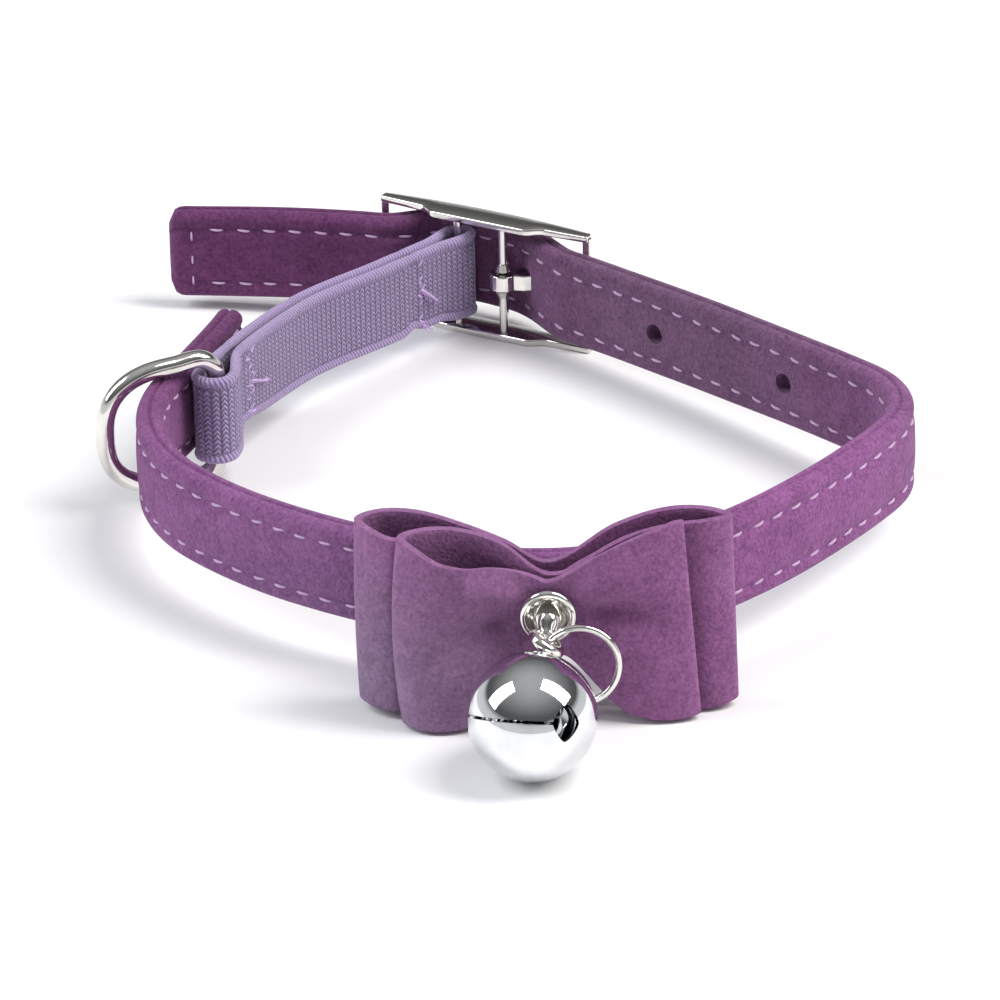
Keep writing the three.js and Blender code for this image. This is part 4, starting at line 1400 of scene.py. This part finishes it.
eyeRadius = (rivet["eyeHole"] + rivet["eyeWire"]) / 2
eyePlace = Vector((-rivet["eyeSide"], -(discFront + gap + eyeRadius + rivet["eyeWire"] / 2),
                   rivetHeight - rivet["eyeDrop"]))
jumpMiddle = eyePlace - jumpOffset(jump["eyeTurn"])


def ringPath(centre, normal, radius, count):
    side, other = crossAxes(Vector(normal).normalized())
    turns = [2 * math.pi * step / count for step in range(count)]
    return [centre + (side * math.cos(turn) + other * math.sin(turn)) * radius for turn in turns]


def makePost():
    # the eye and its neck are run together, then smoothed
    eyePath = ringPath(eyePlace, jumpTangent(jump["eyeTurn"]), eyeRadius, 64)
    eye = addLoop("eye", eyePath, rivet["eyeWire"] / 2, 24)
    start = Vector((0, -rivet["discBack"] - 0.5, rivetHeight))
    end = eyePlace + Vector((0, eyeRadius - 0.2, 0.35))
    path = [start.lerp(end, step / 14) for step in range(15)]

    def neckRadius(share):
        return mix(rivet["neckStart"], rivet["neckEnd"], smoothStep(0.2, 0.9, share))

    neck = addTube("neck", path, neckRadius, around=28)
    piece = joinPieces([eye, neck], "rivetPost")
    applyModifier(piece, "REMESH", mode="VOXEL", voxel_size=rivet["grain"] * mm, adaptivity=0)
    applyModifier(piece, "SMOOTH", factor=0.5, iterations=5)
    softShade(piece)
    return piece


postPiece = makePost()
attach(postPiece, nickelPlate, "rivet_post")

jumpPath = [jumpMiddle + jumpOffset(360 * step / 120) for step in range(120)]
jumpPiece = addLoop("jumpRing", jumpPath, jump["wire"] / 2, 16)
attach(jumpPiece, nickelPlate, "jump_ring")

bellRadius = bell["diameter"] / 2
bellPlace = Vector((bell["side"], -strap["thickness"] / 2 - bell["forward"], bellRadius))
shankPlace = jumpMiddle + jumpOffset(jump["shankTurn"])
shankDirection = (shankPlace - bellPlace).normalized()
slitNormal = Vector(bell["slitNormal"]).normalized()
slitAlong = slitNormal.cross(-shankDirection).normalized()
slitMiddle = slitAlong.cross(slitNormal)


def bellBall(radius, segments, rings):
    bpy.ops.mesh.primitive_uv_sphere_add(segments=segments, ring_count=rings, radius=radius * mm)
    ball = bpy.context.object
    ball.rotation_euler = shankDirection.to_track_quat("Z", "Y").to_euler()
    ball.location = toRow(bellPlace)
    settle(ball)
    return ball


def makeBell():
    shell = bellBall(bellRadius, 96, 64)
    shell.name = "bell"
    cutWith(shell, bellBall(bellRadius - bell["wall"], 64, 48))
    reach = math.radians(bell["reach"])
    bpy.ops.mesh.primitive_cube_add(size=1)
    slit = bpy.context.object
    depth = bellRadius * (1 - math.cos(reach)) + bell["wall"]
    turn = Matrix((slitAlong, slitNormal, slitMiddle)).transposed().to_4x4()
    spot = bellPlace + slitMiddle * (bellRadius * math.cos(reach) + depth / 2)
    length = 2 * bellRadius * math.sin(reach)
    slit.data.transform(turn @ Matrix.Diagonal((length * mm, bell["slit"] * mm, depth * mm, 1)))
    slit.data.transform(Matrix.Translation(toRow(spot)))
    cutWith(shell, slit)
    for degrees in (bell["reach"], -bell["reach"]):
        turnHere = math.radians(degrees)
        way = slitMiddle * math.cos(turnHere) + slitAlong * math.sin(turnHere)
        bpy.ops.mesh.primitive_cylinder_add(vertices=44, radius=1, depth=bell["wall"] * 8 * mm)
        punch = bpy.context.object
        for vertex in punch.data.vertices:
            # a rounded lozenge, pointed where the slit runs in
            x, y = vertex.co.x, vertex.co.y
            reachOut = (abs(x) ** bell["holePoint"] + abs(y) ** bell["holePoint"]) ** (-1 / bell["holePoint"])
            vertex.co.x = x * reachOut * bell["holeLength"] / 2 * mm
            vertex.co.y = y * reachOut * bell["holeWidth"] / 2 * mm
        tangent = slitNormal.cross(way)
        turnTo = Matrix((tangent, slitNormal, way)).transposed().to_4x4()
        turnTo.translation = toRow(bellPlace + way * bellRadius)
        if turnTo.determinant() < 0:
            turnTo = turnTo @ Matrix.Diagonal((-1, 1, 1, 1))
        punch.data.transform(turnTo)
        cutWith(shell, punch)
    softShade(shell, 30)
    shankRadius = (bell["shankHole"] + bell["shankWire"]) / 2
    wireWay = jumpTangent(jump["shankTurn"])
    wireWay = (wireWay - shankDirection * wireWay.dot(shankDirection)).normalized()
    shank = addLoop("shank", ringPath(shankPlace, wireWay, shankRadius, 48), bell["shankWire"] / 2, 14)
    start = bellPlace + shankDirection * (bellRadius - bell["wall"] * 0.5)
    end = shankPlace - shankDirection * shankRadius
    stemPath = [start.lerp(end, step / 8) for step in range(9)]
    stem = addTube("stem", stemPath, lambda share: bell["shankWire"] * 0.8, 16)
    return joinPieces([shell, shank, stem], "bell")


bellPiece = makeBell()
attach(bellPiece, bellChrome, "bell")
dress(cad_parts["bell_pellet"], plainSteel)
softenNode("rivet_cap", "rivetCap")
print("rivet, jump ring and bell made")


# Floor and light

studio = {
    "floor": (0.9, 0.9, 0.905),
    "sky": (0.97, 0.985, 1.0),
    "levels": [(0.0, 0.8), (1.0, 0.5), (0.2, 0.7), (0.33, 0.1), (0.46, 0.12), (0.7, 0.26)],
    "lights": [
        ("softBoxRight", (0.56, -0.1, 0.7), (0.36, 0.75), 9.0, (1, 0.985, 0.97)),
        ("softBoxLeft", (-0.67, -0.05, 0.6), (0.36, 0.7), 5.6, (0.94, 0.965, 1)),
    ],
}


def makeFloor():
    bpy.ops.mesh.primitive_plane_add(size=6, location=(0, 0, 0))
    floor = bpy.context.object
    floor.name = "floor"
    material, tree, shader, coordinates = startMaterial("paleFloor")
    shader.inputs["Base Color"].default_value = (*studio["floor"], 1)
    shader.inputs["Roughness"].default_value = 0.75
    dress(floor, material)


def addLight(name, place, size, power, color):
    # a soft box that faces the frame's origin
    bpy.ops.object.light_add(type="AREA")
    light = bpy.context.object
    light.name = name
    light.data.shape = "RECTANGLE"
    light.data.size = size[0]
    light.data.size_y = size[1]
    light.data.energy = power
    light.data.color = color
    light.location = place
    light.rotation_euler = Vector(place).to_track_quat("Z", "Y").to_euler()


def makeSky():
    # a dim studio, with a pale sweep low down and some light overhead
    world = bpy.data.worlds.new("studio")
    bpy.context.scene.world = world
    world.use_nodes = True
    tree = world.node_tree
    coordinates = addNode(tree, "ShaderNodeTexCoord", (-900, 0))
    split = addNode(tree, "ShaderNodeSeparateXYZ", (-700, 0))
    tree.links.new(coordinates.outputs["Generated"], split.inputs[0])
    ramp = addNode(tree, "ShaderNodeValToRGB", (-450, 0))
    elements = ramp.color_ramp.elements
    for index, (height, level) in enumerate(studio["levels"]):
        element = elements[index] if index < 2 else elements.new(height)
        element.position = height
        element.color = (*(level * tone for tone in studio["sky"]), 1)
    tree.links.new(split.outputs["Z"], ramp.inputs[0])
    tree.links.new(ramp.outputs[0], tree.nodes["Background"].inputs["Color"])
    tree.nodes["Background"].inputs["Strength"].default_value = 1


makeFloor()
makeSky()
for light in studio["lights"]:
    addLight(*light)
bpy.context.scene.view_settings.view_transform = "Standard"
print("floor and light placed")
